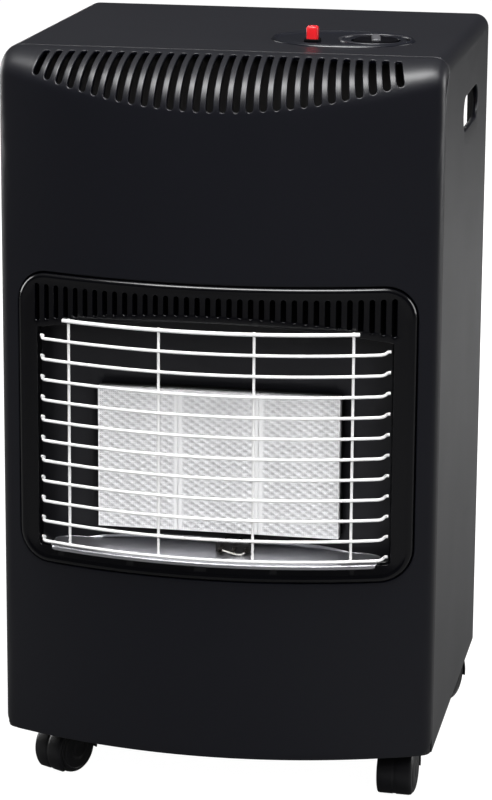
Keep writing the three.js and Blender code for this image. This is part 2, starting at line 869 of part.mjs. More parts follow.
function pilotBracket() {
  const shelfTop = openingBottom + gap + reflectorSheet;
  const [left, right] = [pilotXs[0] - pilotPitch / 2, pilotXs[2] + pilotPitch / 2];
  const bottom = shelfTop + gap;
  const upright = box(left, right, pilotBracketY, pilotBracketY + bracketSheet, bottom, bottom + pilotBracketHeight);
  const foot = box(left, right, pilotBracketY, pilotBracketY + cutMargin, bottom, bottom + 1);
  return cut(upright.add(foot), pilotHoles(pilotBracketY - cutMargin, pilotBracketY + cutMargin + 1));
}

// ---------------------------------------------------------------------------------------------
// Controls
// ---------------------------------------------------------------------------------------------

const escutcheonTop = cabinetTop + gap + escutcheonThickness;
const knobBottom = knobTop - knobHeight;
const wellBottom = knobBottom - knobTravel - gap - wellFloor;
const bonnetTop = valveTop + bonnetHeight;
const bracketBottom = bonnetTop + gap;

function controlEscutcheon() {
  const oval = new THREE.Shape();
  oval.absellipse(escutcheonX, escutcheonY, escutcheonWidth / 2, escutcheonDepth / 2, 0, 2 * Math.PI);
  const plate = planPrism(oval, cabinetTop + gap, escutcheonTop, 18);
  const well = uprightRod(knobX, knobY, wellBottom, escutcheonTop, wellOuter, 20);
  return cut(plate.add(well), [
    uprightRod(knobX, knobY, wellBottom + wellFloor, escutcheonTop + 1, wellRadius, 20),
    uprightRod(knobX, knobY, wellBottom - 1, escutcheonTop, spindleRadius + 2 * gap, 12),
    box(
      buttonX - buttonHole,
      buttonX + buttonHole,
      buttonY - buttonHole,
      buttonY + buttonHole,
      cabinetTop,
      escutcheonTop + 1,
    ),
  ]);
}

const spindleBottom = valveTop - spindleSeat;
const spindleTop = knobTop - spindleRecess;

function controlKnob() {
  const disc = uprightRod(knobX, knobY, knobBottom, knobTop, knobRadius, 20);
  const gripHalf = knobGripWidth / 2;
  const gripReach = knobRadius - 2;
  const grip = box(
    knobX - gripHalf,
    knobX + gripHalf,
    knobY - gripReach,
    knobY + gripReach,
    knobTop - 1,
    knobTop + knobGripRise,
  );
  const bore = uprightRod(knobX, knobY, knobBottom - 1, spindleTop + gap, spindleRadius + gap, 12);
  return disc.add(grip).subtract(bore);
}

function spindleCollar() {
  const ring = uprightRod(knobX, knobY, collarBottom, collarBottom + collarHeight, collarRadius, 16);
  const bore = uprightRod(
    knobX,
    knobY,
    collarBottom - 1,
    collarBottom + collarHeight + 1,
    spindleRadius + gap,
    12,
  );
  return ring.subtract(bore);
}

function gasValveBody() {
  const body = box(valveLeft, valveRight, valveNear, valveFar, valveBottom, valveTop);
  const bonnet = uprightRod(knobX, knobY, valveTop - 1, bonnetTop, bonnetRadius, 16);
  const floor = spindleBottom - knobTravel - 1;
  return body.add(bonnet).subtract(uprightRod(knobX, knobY, floor, bonnetTop + 1, spindleRadius + gap, 12));
}

// A stirrup that hangs the valve from the underside of the top.
function valveBracket() {
  const [left, right] = [knobX - bracketWidth / 2, knobX + bracketWidth / 2];
  const [near, far] = [knobY - bracketDepth / 2, knobY + bracketDepth / 2];
  const top = cabinetTop - sheet - gap;
  const frame = box(left, right, near, far, bracketBottom, top);
  const inside = box(left + bracketSheet, right - bracketSheet, near - 1, far + 1, bracketBottom + bracketSheet, top + 1);
  return cut(frame, [inside, uprightRod(knobX, knobY, 0, cabinetTop, spindleRadius + 2, 16)]);
}

// The hose inlet on the back of the valve: a stepped tail with a through bore.
function hoseNozzle() {
  const start = valveFar + gap;
  const barbLength = nozzleLength / (nozzleBarbs + 1);
  const profile = [[nozzleBore, start], [nozzleRadius + 1.5, start], [nozzleRadius + 1.5, start + barbLength]];
  for (let barb = 0; barb < nozzleBarbs; barb += 1) {
    const y = start + barbLength * (barb + 1);
    profile.push([nozzleRadius, y + 0.5], [nozzleRadius - 1, y + barbLength]);
  }
  profile.push([nozzleBore, start + nozzleLength], [nozzleBore, start]);
  const points = profile.map(([radius, y]) => new THREE.Vector2(radius, y));
  return toSolid(new THREE.LatheGeometry(points, 12).translate(knobX, 0, gasPipeInlet));
}

const buttonBottom = cabinetTop - sheet - gap - buttonTravel - 2;

function igniterButton() {
  const half = buttonSize / 2;
  return box(
    buttonX - half,
    buttonX + half,
    buttonY - half,
    buttonY + half,
    buttonBottom,
    escutcheonTop + buttonRise,
  );
}

function piezoIgniterBody() {
  const half = piezoSize / 2;
  const top = cabinetTop - sheet - gap;
  const housing = box(buttonX - half, buttonX + half, buttonY - half, buttonY + half, piezoBottom, top);
  const socket = box(
    buttonX - buttonHole,
    buttonX + buttonHole,
    buttonY - buttonHole,
    buttonY + buttonHole,
    buttonBottom - buttonTravel - gap,
    top + 1,
  );
  return housing.subtract(socket);
}

// ---------------------------------------------------------------------------------------------
// Base tray, partition and rear cover
// ---------------------------------------------------------------------------------------------

const casterPlaces = [
  { tag: 'front_left', x: -casterX, y: -casterY, swivel: frontLeftSwivel },
  { tag: 'front_right', x: casterX, y: -casterY, swivel: frontRightSwivel },
  { tag: 'rear_left', x: -casterX, y: casterY, swivel: rearLeftSwivel },
  { tag: 'rear_right', x: casterX, y: casterY, swivel: rearRightSwivel },
];

const trayTop = skirtBottom + traySheet;
const trayRear = sideDepth / 2 - sheet - gap;
const coverFront = sideDepth / 2 + gap;
const ledgeRear = coverFront + ledgeDepth;

function baseTray() {
  const inset = sheet + gap;
  const outer = planPrism(planOutline(inset, trayRear), skirtBottom, skirtBottom + trayFlange, 4);
  const inner = planPrism(planOutline(inset + traySheet, trayRear - traySheet), trayTop, cabinetTop, 4);
  const half = ledgeWidth / 2;
  const ledge = box(-half, half, trayRear - 2, ledgeRear, skirtBottom, trayTop);
  const ledgeLip = box(-half, half, ledgeRear - traySheet, ledgeRear, skirtBottom, trayTop + ledgeRise);
  const sockets = casterPlaces.map(({ x, y }) => {
    return uprightRod(x, y, trayTop - traySheet / 2, trayTop + socketHeight, socketRadius, 12);
  });
  const bores = casterPlaces.map(({ x, y }) => {
    return uprightRod(x, y, skirtBottom - 1, trayTop + socketHeight - traySheet, stemRadius + gap, 12);
  });
  return cut(joined([outer.subtract(inner), ledge, ledgeLip, ...sockets]), bores);
}

function bottlePartition() {
  const half = cabinetWidth / 2 - sheet - traySheet - 2 * gap;
  const bottom = trayTop + gap;
  const plate = box(-half, half, partitionY, partitionY + traySheet, bottom, partitionTop);
  const foot = box(-half, half, partitionY, partitionY + partitionFoot, bottom, bottom + traySheet);
  return plate.add(foot);
}

// A boxed pan with a flat lip all round; the lip stands in the tray's rear ledge.
function rearCover() {
  const half = coverWidth / 2;
  const bottom = trayTop + gap;
  const panBottom = bottom + coverLip;
  const rear = coverFront + coverBulge;
  const lip = box(-half - coverLip, half + coverLip, coverFront, coverFront + coverSheet, bottom, coverTop + coverLip);
  const pan = box(-half, half, coverFront, rear, panBottom, coverTop);
  const hollow = box(
    -half + coverSheet,
    half - coverSheet,
    coverFront - 1,
    rear - coverSheet,
    panBottom + coverSheet,
    coverTop - coverSheet,
  );
  const slots = Array.from({ length: coverSlotCount }, (_, index) => {
    const z = coverSlotBottom + index * coverSlotPitch;
    return box(-coverSlotLength / 2, coverSlotLength / 2, 0, rear + 1, z, z + coverSlotHeight);
  });
  return cut(lip.add(pan), [hollow, ...slots]);
}

// ---------------------------------------------------------------------------------------------
// Casters. Each is built about its stem: X along the axle, the wheels trailing toward +Y.
// ---------------------------------------------------------------------------------------------

function casterHousing() {
  const hood = new THREE.Shape();
  hood.absarc(0, 0, hoodOuter, hoodEndAngle, Math.PI - hoodEndAngle);
  hood.absarc(0, 0, hoodInner, Math.PI - hoodEndAngle, hoodEndAngle, true);
  const disc = new THREE.Shape();
  disc.absarc(0, 0, (hoodInner + hoodOuter) / 2, hoodEndAngle, Math.PI - hoodEndAngle);
  disc.lineTo(-axleRadius * 2, -axleRadius);
  disc.lineTo(axleRadius * 2, -axleRadius);
  const place = (solid) => solid.translate([0, casterTrail, wheelRadius]);
  const band = place(sidePrism(hood, -hoodWidth / 2, hoodWidth / 2, 8));
  const web = place(sidePrism(disc, -webThickness / 2, webThickness / 2, 8));
  const boss = crossRod(casterTrail, wheelRadius, -webThickness / 2, webThickness / 2, axleRadius * 2, 12);
  const bore = crossRod(casterTrail, wheelRadius, -webThickness, webThickness, axleRadius + gap, 12);
  const hoodTopAtStem = wheelRadius + Math.sqrt(hoodInner ** 2 - (casterTrail - stemCollarRadius) ** 2);
  const collar = uprightRod(0, 0, hoodTopAtStem, skirtBottom - runningGap, stemCollarRadius, 12);
  const stem = uprightRod(0, 0, skirtBottom - stemRadius, trayTop + socketHeight - traySheet - runningGap, stemRadius, 12);
  return joined([band, web, boss, collar, stem]).subtract(bore);
}

const wheelInnerFace = webThickness / 2 + runningGap;
const axleReach = wheelInnerFace + wheelWidth - wheelShoulder;

function casterAxle() {
  return crossRod(casterTrail, wheelRadius, -axleReach, axleReach, axleRadius, 12);
}

// A wheel with a rounded outer shoulder, a shallow dished hub and a blind bore for the axle.
function casterWheel(side) {
  const outerFace = wheelInnerFace + wheelWidth;
  const boreEnd = axleReach + runningGap;
  const boreRadius = axleRadius + gap;
  const profile = [
    [0, outerFace],
    [wheelRadius * 0.4, outerFace],
    [wheelRadius - wheelShoulder, outerFace - 1],
    [wheelRadius - 1, outerFace - wheelShoulder],
    [wheelRadius, outerFace - 2 * wheelShoulder],
    [wheelRadius, wheelInnerFace + 1],
    [wheelRadius - 1, wheelInnerFace],
    [boreRadius, wheelInnerFace],
    [boreRadius, boreEnd],
    [0, boreEnd],
  ];
  const points = profile.map(([radius, x]) => new THREE.Vector2(radius, x)).reverse();
  const lathe = new THREE.LatheGeometry(points, wheelSegments).rotateZ((-side * Math.PI) / 2);
  return toSolid(lathe.translate(0, casterTrail, wheelRadius));
}

const housingSolid = casterHousing();
const axleSolid = casterAxle();
const wheelSolids = { outer: casterWheel(1), inner: casterWheel(-1) };

function caster({ tag, x, y, swivel }) {
  const group = new THREE.Group();
  group.position.set(x, y, 0);
  group.rotation.z = THREE.MathUtils.degToRad(swivel);
  group.add(piece(`caster_housing_${tag}`, housingSolid, blackPlastic));
  group.add(piece(`caster_axle_${tag}`, axleSolid, brightSteel));
  group.add(piece(`caster_wheel_a_${tag}`, wheelSolids.outer, greyPlastic));
  group.add(piece(`caster_wheel_b_${tag}`, wheelSolids.inner, greyPlastic));
  return group;
}

// ---------------------------------------------------------------------------------------------
// Assembly
// ---------------------------------------------------------------------------------------------

function controls() {
  const group = new THREE.Group();
  group.add(piece('control_escutcheon', controlEscutcheon(), blackPlastic));
  group.add(piece('control_knob', controlKnob(), blackPlastic));
  group.add(
    piece('valve_spindle', uprightRod(knobX, knobY, spindleBottom, spindleTop, spindleRadius, 12), brightSteel),
  );
  group.add(piece('spindle_collar', spindleCollar(), brass));
  group.add(piece('gas_valve_body', gasValveBody(), brass));
  group.add(piece('valve_bracket', valveBracket(), brightSteel));
  group.add(piece('hose_nozzle', hoseNozzle(), brass));
  group.add(piece('igniter_button', igniterButton(), redPlastic));
  group.add(piece('piezo_igniter_body', piezoIgniterBody(), blackPlastic));
  return group;
}

function burner() {
  const group = new THREE.Group();
  const sides = ['left', 'centre', 'right'];
  group.add(piece('burner_surround', burnerSurround(), blackEnamel));
  group.add(piece('heat_shield', heatShield(), darkSteel));
  group.add(piece('lower_reflector', lowerReflector(), polishedSteel));
  plaqueXs.forEach((x, index) => {
    group.add(piece(`plaque_${sides[index]}`, plaque(x), ceramic));
    group.add(piece(`burner_box_${sides[index]}`, burnerBox(x), darkSteel));
    group.add(piece(`injector_${sides[index]}`, injector(x), brass));
    group.add(piece(`gas_pipe_${sides[index]}`, gasPipe(x, index), copper));
  });
  group.add(piece('pilot_burner', pilotBurner(), brightSteel));
  group.add(piece('pilot_pipe', pilotPipe(), copper));
  group.add(piece('pilot_bracket', pilotBracket(), darkSteel));
  group.add(piece('thermocouple', thermocouple(), copper));
  group.add(piece('ignition_electrode', ignitionElectrode(), ceramic));
  group.add(piece('igniter_lead', igniterLead(), leadSleeve));
  return group;
}

function cabinet() {
  const group = new THREE.Group();
  group.add(piece('cabinet_shell', cabinetShell(), blackCoat));
  group.add(piece('front_panel', frontPanel(), blackCoat));
  group.add(piece('base_tray', baseTray(), blackCoat));
  group.add(piece('bottle_partition', bottlePartition(), brightSteel));
  group.add(piece('rear_cover', rearCover(), blackCoat));
  group.add(piece('burner_bezel', burnerBezel(), blackEnamel));
  group.add(piece('wire_guard', wireGuard(), whiteEnamel));
  return group;
}

const heater = new THREE.Group();
heater.add(cabinet(), burner(), controls(), ...casterPlaces.map(caster));
heater.position.y = -new THREE.Box3().setFromObject(heater, true).getCenter(new THREE.Vector3()).y;
heater.updateMatrixWorld(true);

export default heater;
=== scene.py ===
"""A portable gas cabinet heater: a black sheet-metal cabinet with a bowed, slotted front, a ceramic
burner behind a white wire guard, controls on the top and four twin-wheel casters.

Lengths are in millimetres in the cabinet's own axes (X width, Y depth from the middle of the side
walls, Z up from the floor) and become metres in the frame where a mesh is made.
"""

import json
import math

import bmesh
import bpy
from mathutils import Matrix, Vector
from mathutils.geometry import delaunay_2d_cdt


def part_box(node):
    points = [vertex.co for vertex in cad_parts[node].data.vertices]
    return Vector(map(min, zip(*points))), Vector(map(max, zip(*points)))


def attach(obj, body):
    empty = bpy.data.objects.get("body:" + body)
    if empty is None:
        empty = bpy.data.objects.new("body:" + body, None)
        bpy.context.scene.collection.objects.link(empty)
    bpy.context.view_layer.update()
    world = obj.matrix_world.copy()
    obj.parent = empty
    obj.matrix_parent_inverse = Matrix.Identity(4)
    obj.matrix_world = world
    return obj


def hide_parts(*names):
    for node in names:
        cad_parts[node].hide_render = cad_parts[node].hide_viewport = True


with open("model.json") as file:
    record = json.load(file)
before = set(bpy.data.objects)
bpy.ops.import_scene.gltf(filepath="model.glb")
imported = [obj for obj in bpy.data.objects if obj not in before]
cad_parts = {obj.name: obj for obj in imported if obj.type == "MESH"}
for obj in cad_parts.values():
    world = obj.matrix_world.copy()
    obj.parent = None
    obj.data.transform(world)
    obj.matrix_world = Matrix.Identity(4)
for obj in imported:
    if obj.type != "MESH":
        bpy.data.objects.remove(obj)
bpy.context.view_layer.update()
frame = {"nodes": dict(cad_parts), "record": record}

# ---- Sizes ----

MM = 0.001
shell_low, shell_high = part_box("cabinet_shell")
SIDE_DEPTH = 360
MIDDLE_Y = shell_high.y - SIDE_DEPTH / 2 * MM
HALF_WIDTH = shell_high.x / MM
TOP = shell_high.z / MM
SKIRT = shell_low.z / MM

FRONT_BOW = 47.3
EDGE_X = HALF_WIDTH - 8
EDGE_RUN = 14
SIDE_SEAM_Y = -SIDE_DEPTH / 2 + 8
TOP_SEAM_Y = -SIDE_DEPTH / 2 + 29
FOLD_RADIUS = 14
SHOULDER_MIDDLE = 50
SHOULDER_END = 25
SHEET = 0.8

LOUVRES = 29
LOUVRE_HALF = 3.2
LOUVRE_TOP_SPREAD = 164
LOUVRE_BOTTOM_SPREAD = 173
LOUVRE_SETBACK = 15
LOUVRE_BOTTOM = 682
LOUVRE_BOTTOM_RISE = 25

BEZEL_HALF = 190
BEZEL_BOTTOM = 239
BEZEL_TOP = 522
BEZEL_CORNER = 30
BEZEL_GROOVE = 1.2
BEZEL_SIDE = 60
BEZEL_ACROSS = 80
OPENING_HALF = 170
OPENING_BOTTOM = 256
OPENING_CORNER = 5
ARCH_TOP = 487
ARCH_FALL = 18
ARCH_REACH = 170
BEZEL_SLOTS = 35
BEZEL_SLOT_PITCH = 10
BEZEL_SLOT_HALF = 2.4
BEZEL_SLOT_TOP = 511.5
BEZEL_SLOT_LAND = 6.5
BEZEL_PLATE = 2.8

WIRES = 12
WIRE_TOP = 481
WIRE_BOTTOM = 263
WIRE_RADIUS = 1.55
TOP_WIRE_RADIUS = 1.85
WIRE_BOW = 37
WIRE_BOW_REACH = 180
WIRE_REACH = 159
WIRE_FOOT_Y = -197.5
WIRE_END = 167.2
UPRIGHTS = (-135, -45, 45, 135)
UPRIGHT_RADIUS = 1.4

PLAQUES = (("plaque_left", -78), ("plaque_centre", 0), ("plaque_right", 78))
PLAQUE_HALF = 38.8
PLAQUE_JOINT = 39
JOINT_LAND = 3.6
PLAQUE_BOTTOM = 270.8
PLAQUE_TOP = 409.1
PLAQUE_FRONT = -177
PLAQUE_REAR = -164.2
LATTICE_ACROSS = 10.4
LATTICE_UP = 6.7

CONTROLS_X = 96
CONTROLS_Y = -54
KNOB_X = 127.5
KNOB_Y = -54
BUTTON_X = 70
BUTTON_Y = -76

CASTERS = {
    "front_left": (-171.5, -143, -30),
    "front_right": (171.5, -143, -3),
    "rear_left": (-171.5, 143, 20),
    "rear_right": (171.5, 143, -20),
}
CASTER_TRAIL = 18
WHEEL_RADIUS = 25


def frame_point(point):
    """A point in the cabinet's millimetres as a point of the frame in metres."""
    x, y, z = point
    return (x * MM, y * MM + MIDDLE_Y, z * MM)


# ---- Skins: lists of points and faces in the cabinet's millimetres ----


class Skin:
    """An open or closed surface that grows by grids and rings; its faces point outwards."""

    def __init__(self):
        self.points = []
        self.faces = []

    def add(self, points, faces):
        start = len(self.points)
        self.points += [Vector(p) for p in points]
        self.faces += [[start + index for index in face] for face in faces]
        return self

    def grid(self, rows, closed=False):
        """Rows of points of one length; a closed grid joins each row's end to its start."""
        wide = len(rows[0])
        faces = []
        for row in range(len(rows) - 1):
            for col in range(wide if closed else wide - 1):
                a, b = row * wide + col, row * wide + (col + 1) % wide
                faces.append([a, a + wide, b + wide, b])
        return self.add([p for row in rows for p in row], faces)

    def welded(self, distance=0.02):
        """The same skin with points closer than the distance made one."""
        seen, remap, points = {}, [], []
        steps = (0, -1, 1)
        around = [(i, j, k) for i in steps for j in steps for k in steps]
        for point in self.points:
            key = [round(c / distance) for c in point]
            near = (seen.get(tuple(a + b for a, b in zip(key, step))) for step in around)
            found = next((n for n in near if n is not None), None)
            if found is None:
                found = len(points)
                points.append(point)
                seen[tuple(key)] = found
            remap.append(found)
        faces = []
        for face in self.faces:
            kept = []
            for index in (remap[i] for i in face):
                if not kept or kept[-1] != index:
                    kept.append(index)
            if len(kept) > 1 and kept[0] == kept[-1]:
                kept.pop()
            if len(kept) > 2:
                faces.append(kept)
        made = Skin()
        made.points, made.faces = points, faces
        return made

    def capped(self, first, last):
        """Flat ends on a tube of rings: the number of points in its first and last ring."""
        count = len(self.points)
        self.faces += [list(range(first)), list(range(count - last, count))[::-1]]
        return self

    def join(self, other):
        return self.add(other.points, other.faces)

    def moved(self, matrix):
        self.points = [matrix @ p for p in self.points]
        return self


def face_normal(skin, face):
    """The face's normal, as long as twice its area."""
    normal = Vector()
    for a, b in zip(face, face[1:] + face[:1]):
        normal += skin.points[a].cross(skin.points[b])
    return normal


def roll_edges(skin, radius, depth, steps=3):
    """Turns every open edge inwards round a small radius, then straight back to a depth."""
    normals = [Vector() for _ in skin.points]
    owner = {}
    for face in skin.faces:
        normal = face_normal(skin, face)
        for a, b in zip(face, face[1:] + face[:1]):
            normals[a] += normal
            owner[(a, b)] = normal
    edges = [edge for edge in owner if (edge[1], edge[0]) not in owner]
    outward = {}
    for a, b in edges:
        side = (skin.points[b] - skin.points[a]).cross(owner[(a, b)]).normalized()
        for index in (a, b):
            outward.setdefault(index, []).append(side)
    rings = {}
    for index, sides in outward.items():
        normal = normals[index].normalized()
        away = sum(sides, Vector())
        away = away - normal * away.dot(normal)
        away = away / max(away.length * away.normalized().dot(sides[0]), 0.3) if away.length else away
        base = skin.points[index]
        reach = depth(base) if callable(depth) else depth
        ring = []
        for step in range(1, steps + 1):
            angle = math.pi / 2 * step / steps
            ring.append(base + away * radius * math.sin(angle) - normal * radius * (1 - math.cos(angle)))
        ring.append(base + away * radius - normal * reach)
        start = len(skin.points)
        skin.points += ring
        rings[index] = [index, *range(start, start + len(ring))]
    for a, b in edges:
        for step in range(steps + 1):
            skin.faces.append([rings[b][step], rings[a][step], rings[a][step + 1], rings[b][step + 1]])
    return skin


def between_loops(inner, outer, weights, surface):
    """Faces between a hole's loop and an outer loop of as many points, in a surface's own two
    coordinates. Both loops run anticlockwise as seen from outside."""
    rows = []
    for weight in weights:
        rows.append([surface(*(a + (b - a) * weight for a, b in zip(p, q))) for p, q in zip(inner, outer)])
    return Skin().grid(rows, closed=True)


def centred(count):
    """Numbers in steps of one with their middle at zero."""
    return [index - (count - 1) / 2 for index in range(count)]


def spread(first, last, count):
    """Values in equal steps with both ends."""
    return [first + (last - first) * step / count for step in range(count + 1)]


def line(start, end, count):
    """Points from start to end with the end left out."""
    return list(zip(*(spread(a, b, count) for a, b in zip(start, end))))[:-1]


def arc(centre, radius, first, last, count):
    """Points on an arc in degrees with both ends."""
    angles = [math.radians(angle) for angle in spread(first, last, count)]
    return [(centre[0] + radius * math.cos(a), centre[1] + radius * math.sin(a)) for a in angles]


def resampled(path, count):
    """A path cut into count equal lengths, with both ends."""
    points = [Vector(p) for p in path]
    ends = [0]
    for a, b in zip(points, points[1:]):
        ends.append(ends[-1] + (b - a).length)
    result, place = [], 0
    for step in range(count + 1):
        want = ends[-1] * step / count
        while place < len(points) - 2 and ends[place + 1] < want:
            place += 1
        share = (want - ends[place]) / max(ends[place + 1] - ends[place], 1e-9)
        result.append(tuple(points[place].lerp(points[place + 1], min(max(share, 0), 1))))
    return result


def cut_loop(parts, side, across):
    """One loop from its left, lower, right and upper parts, each cut into equal lengths."""
    loop = []
    for part, count in zip(parts, (side, across, side, across)):
        loop += resampled(part, count)[:-1]
    return loop


def rounded_loop(half, bottom, top, radius, side, across):
    """A rounded rectangle, anticlockwise from its upper left: down, across, up and back."""
    left, right = -half + radius, half - radius
    low, high = bottom + radius, top - radius
    corners = [(left, high), (left, low), (right, low), (right, high)]
    parts = []
    for turn, here, there in zip((135, 225, 315, 45), corners, corners[1:] + corners[:1]):
        after = (turn + 45) % 360
        parts.append(arc(here, radius, turn, turn + 45, 8) + arc(there, radius, after, after + 45, 8))
    return cut_loop(parts, side, across)


def facing_out(mesh):
    """Turns every closed shell of a mesh outwards."""
    work = bmesh.new()
    work.from_mesh(mesh)
    bmesh.ops.remove_doubles(work, verts=work.verts, dist=0.00001)
    bmesh.ops.recalc_face_normals(work, faces=work.faces)
    work.to_mesh(mesh)
    work.free()


def plain_mesh(name, points, edges, faces):
    """A mesh from points in the cabinet's millimetres."""
    mesh = bpy.data.meshes.new(name)
    mesh.from_pydata([frame_point(p) for p in points], edges, faces)
    return mesh


def new_object(name, data):
    made = bpy.data.objects.new(name, data)
    bpy.context.collection.objects.link(made)
    return made


def evaluated_mesh(carrier):
    """The mesh that an object's modifiers make."""
    bpy.context.view_layer.update()
    seen = carrier.evaluated_get(bpy.context.evaluated_depsgraph_get())
    return bpy.data.meshes.new_from_object(seen)


def make_piece(name, shape, finish, body="cabinet", replaces=(), thickness=None):
    """A piece from a skin or a mesh, riding on a body. A skin with no thickness is a closed solid."""
    mesh = shape
    if isinstance(shape, Skin):
        mesh = plain_mesh(name, shape.points, [], shape.faces)
        mesh.validate()
        if not thickness:
            facing_out(mesh)
        mesh.shade_smooth()
    mesh.name = name
    piece = new_object(name, mesh)
    mesh.materials.clear()
    mesh.materials.append(finish)
    if thickness:
        wall = piece.modifiers.new("wall", "SOLIDIFY")
        wall.thickness = thickness * MM
        wall.offset = -1
        piece.data = evaluated_mesh(piece)
        piece.modifiers.clear()
        bpy.data.meshes.remove(mesh)
        piece.data.name = name
    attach(piece, body)
    if replaces:
        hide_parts(*replaces)
    return piece


def smooth_path(points, steps):
    """A Catmull-Rom curve through the points."""
    knots = [Vector(p) for p in points]
    knots = [knots[0] * 2 - knots[1], *knots, knots[-1] * 2 - knots[-2]]
    result = []
    for a, b, c, d in zip(knots, knots[1:], knots[2:], knots[3:]):
        for step in range(steps):
            t = step / steps
            bend = (a * 2 - b * 5 + c * 4 - d) * t * t + (b * 3 - a - c * 3 + d) * t**3
            result.append((b * 2 + (c - a) * t + bend) / 2)
    result.append(knots[-2])
    return result


def placed(centre, degrees, axis="Z"):
    """A turn about an axis, then a move."""
    return Matrix.Translation(centre) @ Matrix.Rotation(math.radians(degrees), 4, axis)


def lathe(profile, segments):
    """A solid round Z from (radius, height) pairs, with flat ends."""
    angles = [2 * math.pi * s / segments for s in range(segments)]
    rows = [[(r * math.cos(a), r * math.sin(a), h) for a in angles] for r, h in profile]
    return Skin().grid(rows, closed=True).capped(segments, segments)


# ---- Node groups: wires through paths, rows of repeats and the plaques' diamond relief ----

WELL_SHARPNESS = 0.8


def new_group(name, kind, inputs, outputs):
    """A node group with its sockets; returns it with its group input and output nodes."""
    group = bpy.data.node_groups.new(name, kind)
    for direction, sockets in (("INPUT", inputs), ("OUTPUT", outputs)):
        for socket, holds, *value in sockets:
            made = group.interface.new_socket(socket, in_out=direction, socket_type="NodeSocket" + holds)
            if value:
                made.default_value = value[0]
    return group, group.nodes.new("NodeGroupInput"), group.nodes.new("NodeGroupOutput")


def feed(tree, node, inputs):
    """Fills a node's inputs, by name or number, with values or with other nodes' outputs."""
    for key, value in dict(inputs).items():
        if isinstance(value, bpy.types.NodeSocket):
            tree.links.new(value, node.inputs[key])
        else:
            node.inputs[key].default_value = value


def add_node(tree, kind, inputs=(), **settings):
    """A new node with its settings made before its inputs are filled."""
    made = tree.nodes.new(kind)
    for name, value in settings.items():
        setattr(made, name, value)
    feed(tree, made, inputs)
    return made


def calc(tree, operation, *values):
    """The result of one math node."""
    return add_node(tree, "ShaderNodeMath", enumerate(values), operation=operation).outputs[0]


def shape_group(name, inputs):
    """A geometry group whose own inputs lie between its geometry and its material."""
    inputs = [("Geometry", "Geometry"), *inputs, ("Material", "Material")]
    return new_group(name, "GeometryNodeTree", inputs, [("Geometry", "Geometry")])


def finish_shape(tree, given, result, shape):
    """Every geometry group ends in Realize Instances and Set Material."""
    whole = add_node(tree, "GeometryNodeRealizeInstances", {"Geometry": shape})
    paint = {"Geometry": whole.outputs["Geometry"], "Material": given.outputs["Material"]}
    painted = add_node(tree, "GeometryNodeSetMaterial", paint)
    feed(tree, result, {"Geometry": painted.outputs["Geometry"]})
    return tree


def wire_group():
    """Round wires along the edges of the given mesh."""
    sizes = [("Wire Radius", "Float", 0.0016), ("Sides", "Int", 12)]
    tree, given, result = shape_group("round_wires", sizes)
    paths = add_node(tree, "GeometryNodeMeshToCurve", {"Mesh": given.outputs["Geometry"]})
    ring = {"Resolution": given.outputs["Sides"], "Radius": given.outputs["Wire Radius"]}
    ring = add_node(tree, "GeometryNodeCurvePrimitiveCircle", ring)
    swept = {"Curve": paths.outputs["Curve"], "Profile Curve": ring.outputs["Curve"], "Fill Caps": True}
    tube = add_node(tree, "GeometryNodeCurveToMesh", swept)
    soft = add_node(tree, "GeometryNodeSetShadeSmooth", {"Geometry": tube.outputs["Mesh"]})
    return finish_shape(tree, given, result, soft.outputs["Geometry"])


def repeat_group():
    """The given mesh repeated in rows and columns."""
    sizes = [("Across Count", "Int", 1), ("Across Step", "Vector")]
    sizes += [("Up Count", "Int", 1), ("Up Step", "Vector")]
    tree, given, result = shape_group("rows_of_repeats", sizes)
    shape = given.outputs["Geometry"]
    for way in ("Across", "Up"):
        row = {"Count": given.outputs[way + " Count"], "Offset": given.outputs[way + " Step"]}
        row = add_node(tree, "GeometryNodeMeshLine", row, mode="OFFSET")
        put = {"Points": row.outputs["Mesh"], "Instance": shape}
        shape = add_node(tree, "GeometryNodeInstanceOnPoints", put).outputs["Instances"]
    return finish_shape(tree, given, result, shape)


def relief_group():
    """Diamond dimples pressed along Y, where the relief mask is 1."""
    sizes = [("Across Pitch", "Float", 0.01), ("Up Pitch", "Float", 0.007), ("Depth", "Float", 0.001)]
    sizes += [("Start X", "Float", 0.0), ("Start Z", "Float", 0.0)]
    tree, given, result = shape_group("diamond_relief", sizes)
    place = add_node(tree, "GeometryNodeInputPosition").outputs["Position"]
    split = add_node(tree, "ShaderNodeSeparateXYZ", {"Vector": place})
    turns = []
    for axis, way in (("X", "Across"), ("Z", "Up")):
        run = calc(tree, "SUBTRACT", split.outputs[axis], given.outputs["Start " + axis])
        turns.append(calc(tree, "DIVIDE", run, given.outputs[way + " Pitch"]))
    waves = []
    for slope in ("ADD", "SUBTRACT"):
        wave = calc(tree, "SINE", calc(tree, "MULTIPLY", calc(tree, slope, *turns), math.pi))
        waves.append(calc(tree, "ABSOLUTE", wave))
    mask = add_node(tree, "GeometryNodeInputNamedAttribute", {"Name": "relief"}, data_type="FLOAT")
    well = calc(tree, "POWER", calc(tree, "MULTIPLY", *waves), WELL_SHARPNESS)
    well = calc(tree, "MULTIPLY", well, mask.outputs["Attribute"])
    # The well's depth is kept so the plaque material can darken its wells as painted shade.
    kept = {"Geometry": given.outputs["Geometry"], "Name": "well", "Value": well}
    kept = add_node(tree, "GeometryNodeStoreNamedAttribute", kept, data_type="FLOAT", domain="POINT")
    press = calc(tree, "MULTIPLY", well, given.outputs["Depth"])
    press = add_node(tree, "ShaderNodeCombineXYZ", {"Y": press}).outputs["Vector"]
    move = {"Geometry": kept.outputs["Geometry"], "Offset": press}
    move = add_node(tree, "GeometryNodeSetPosition", move)
    return finish_shape(tree, given, result, move.outputs["Geometry"])


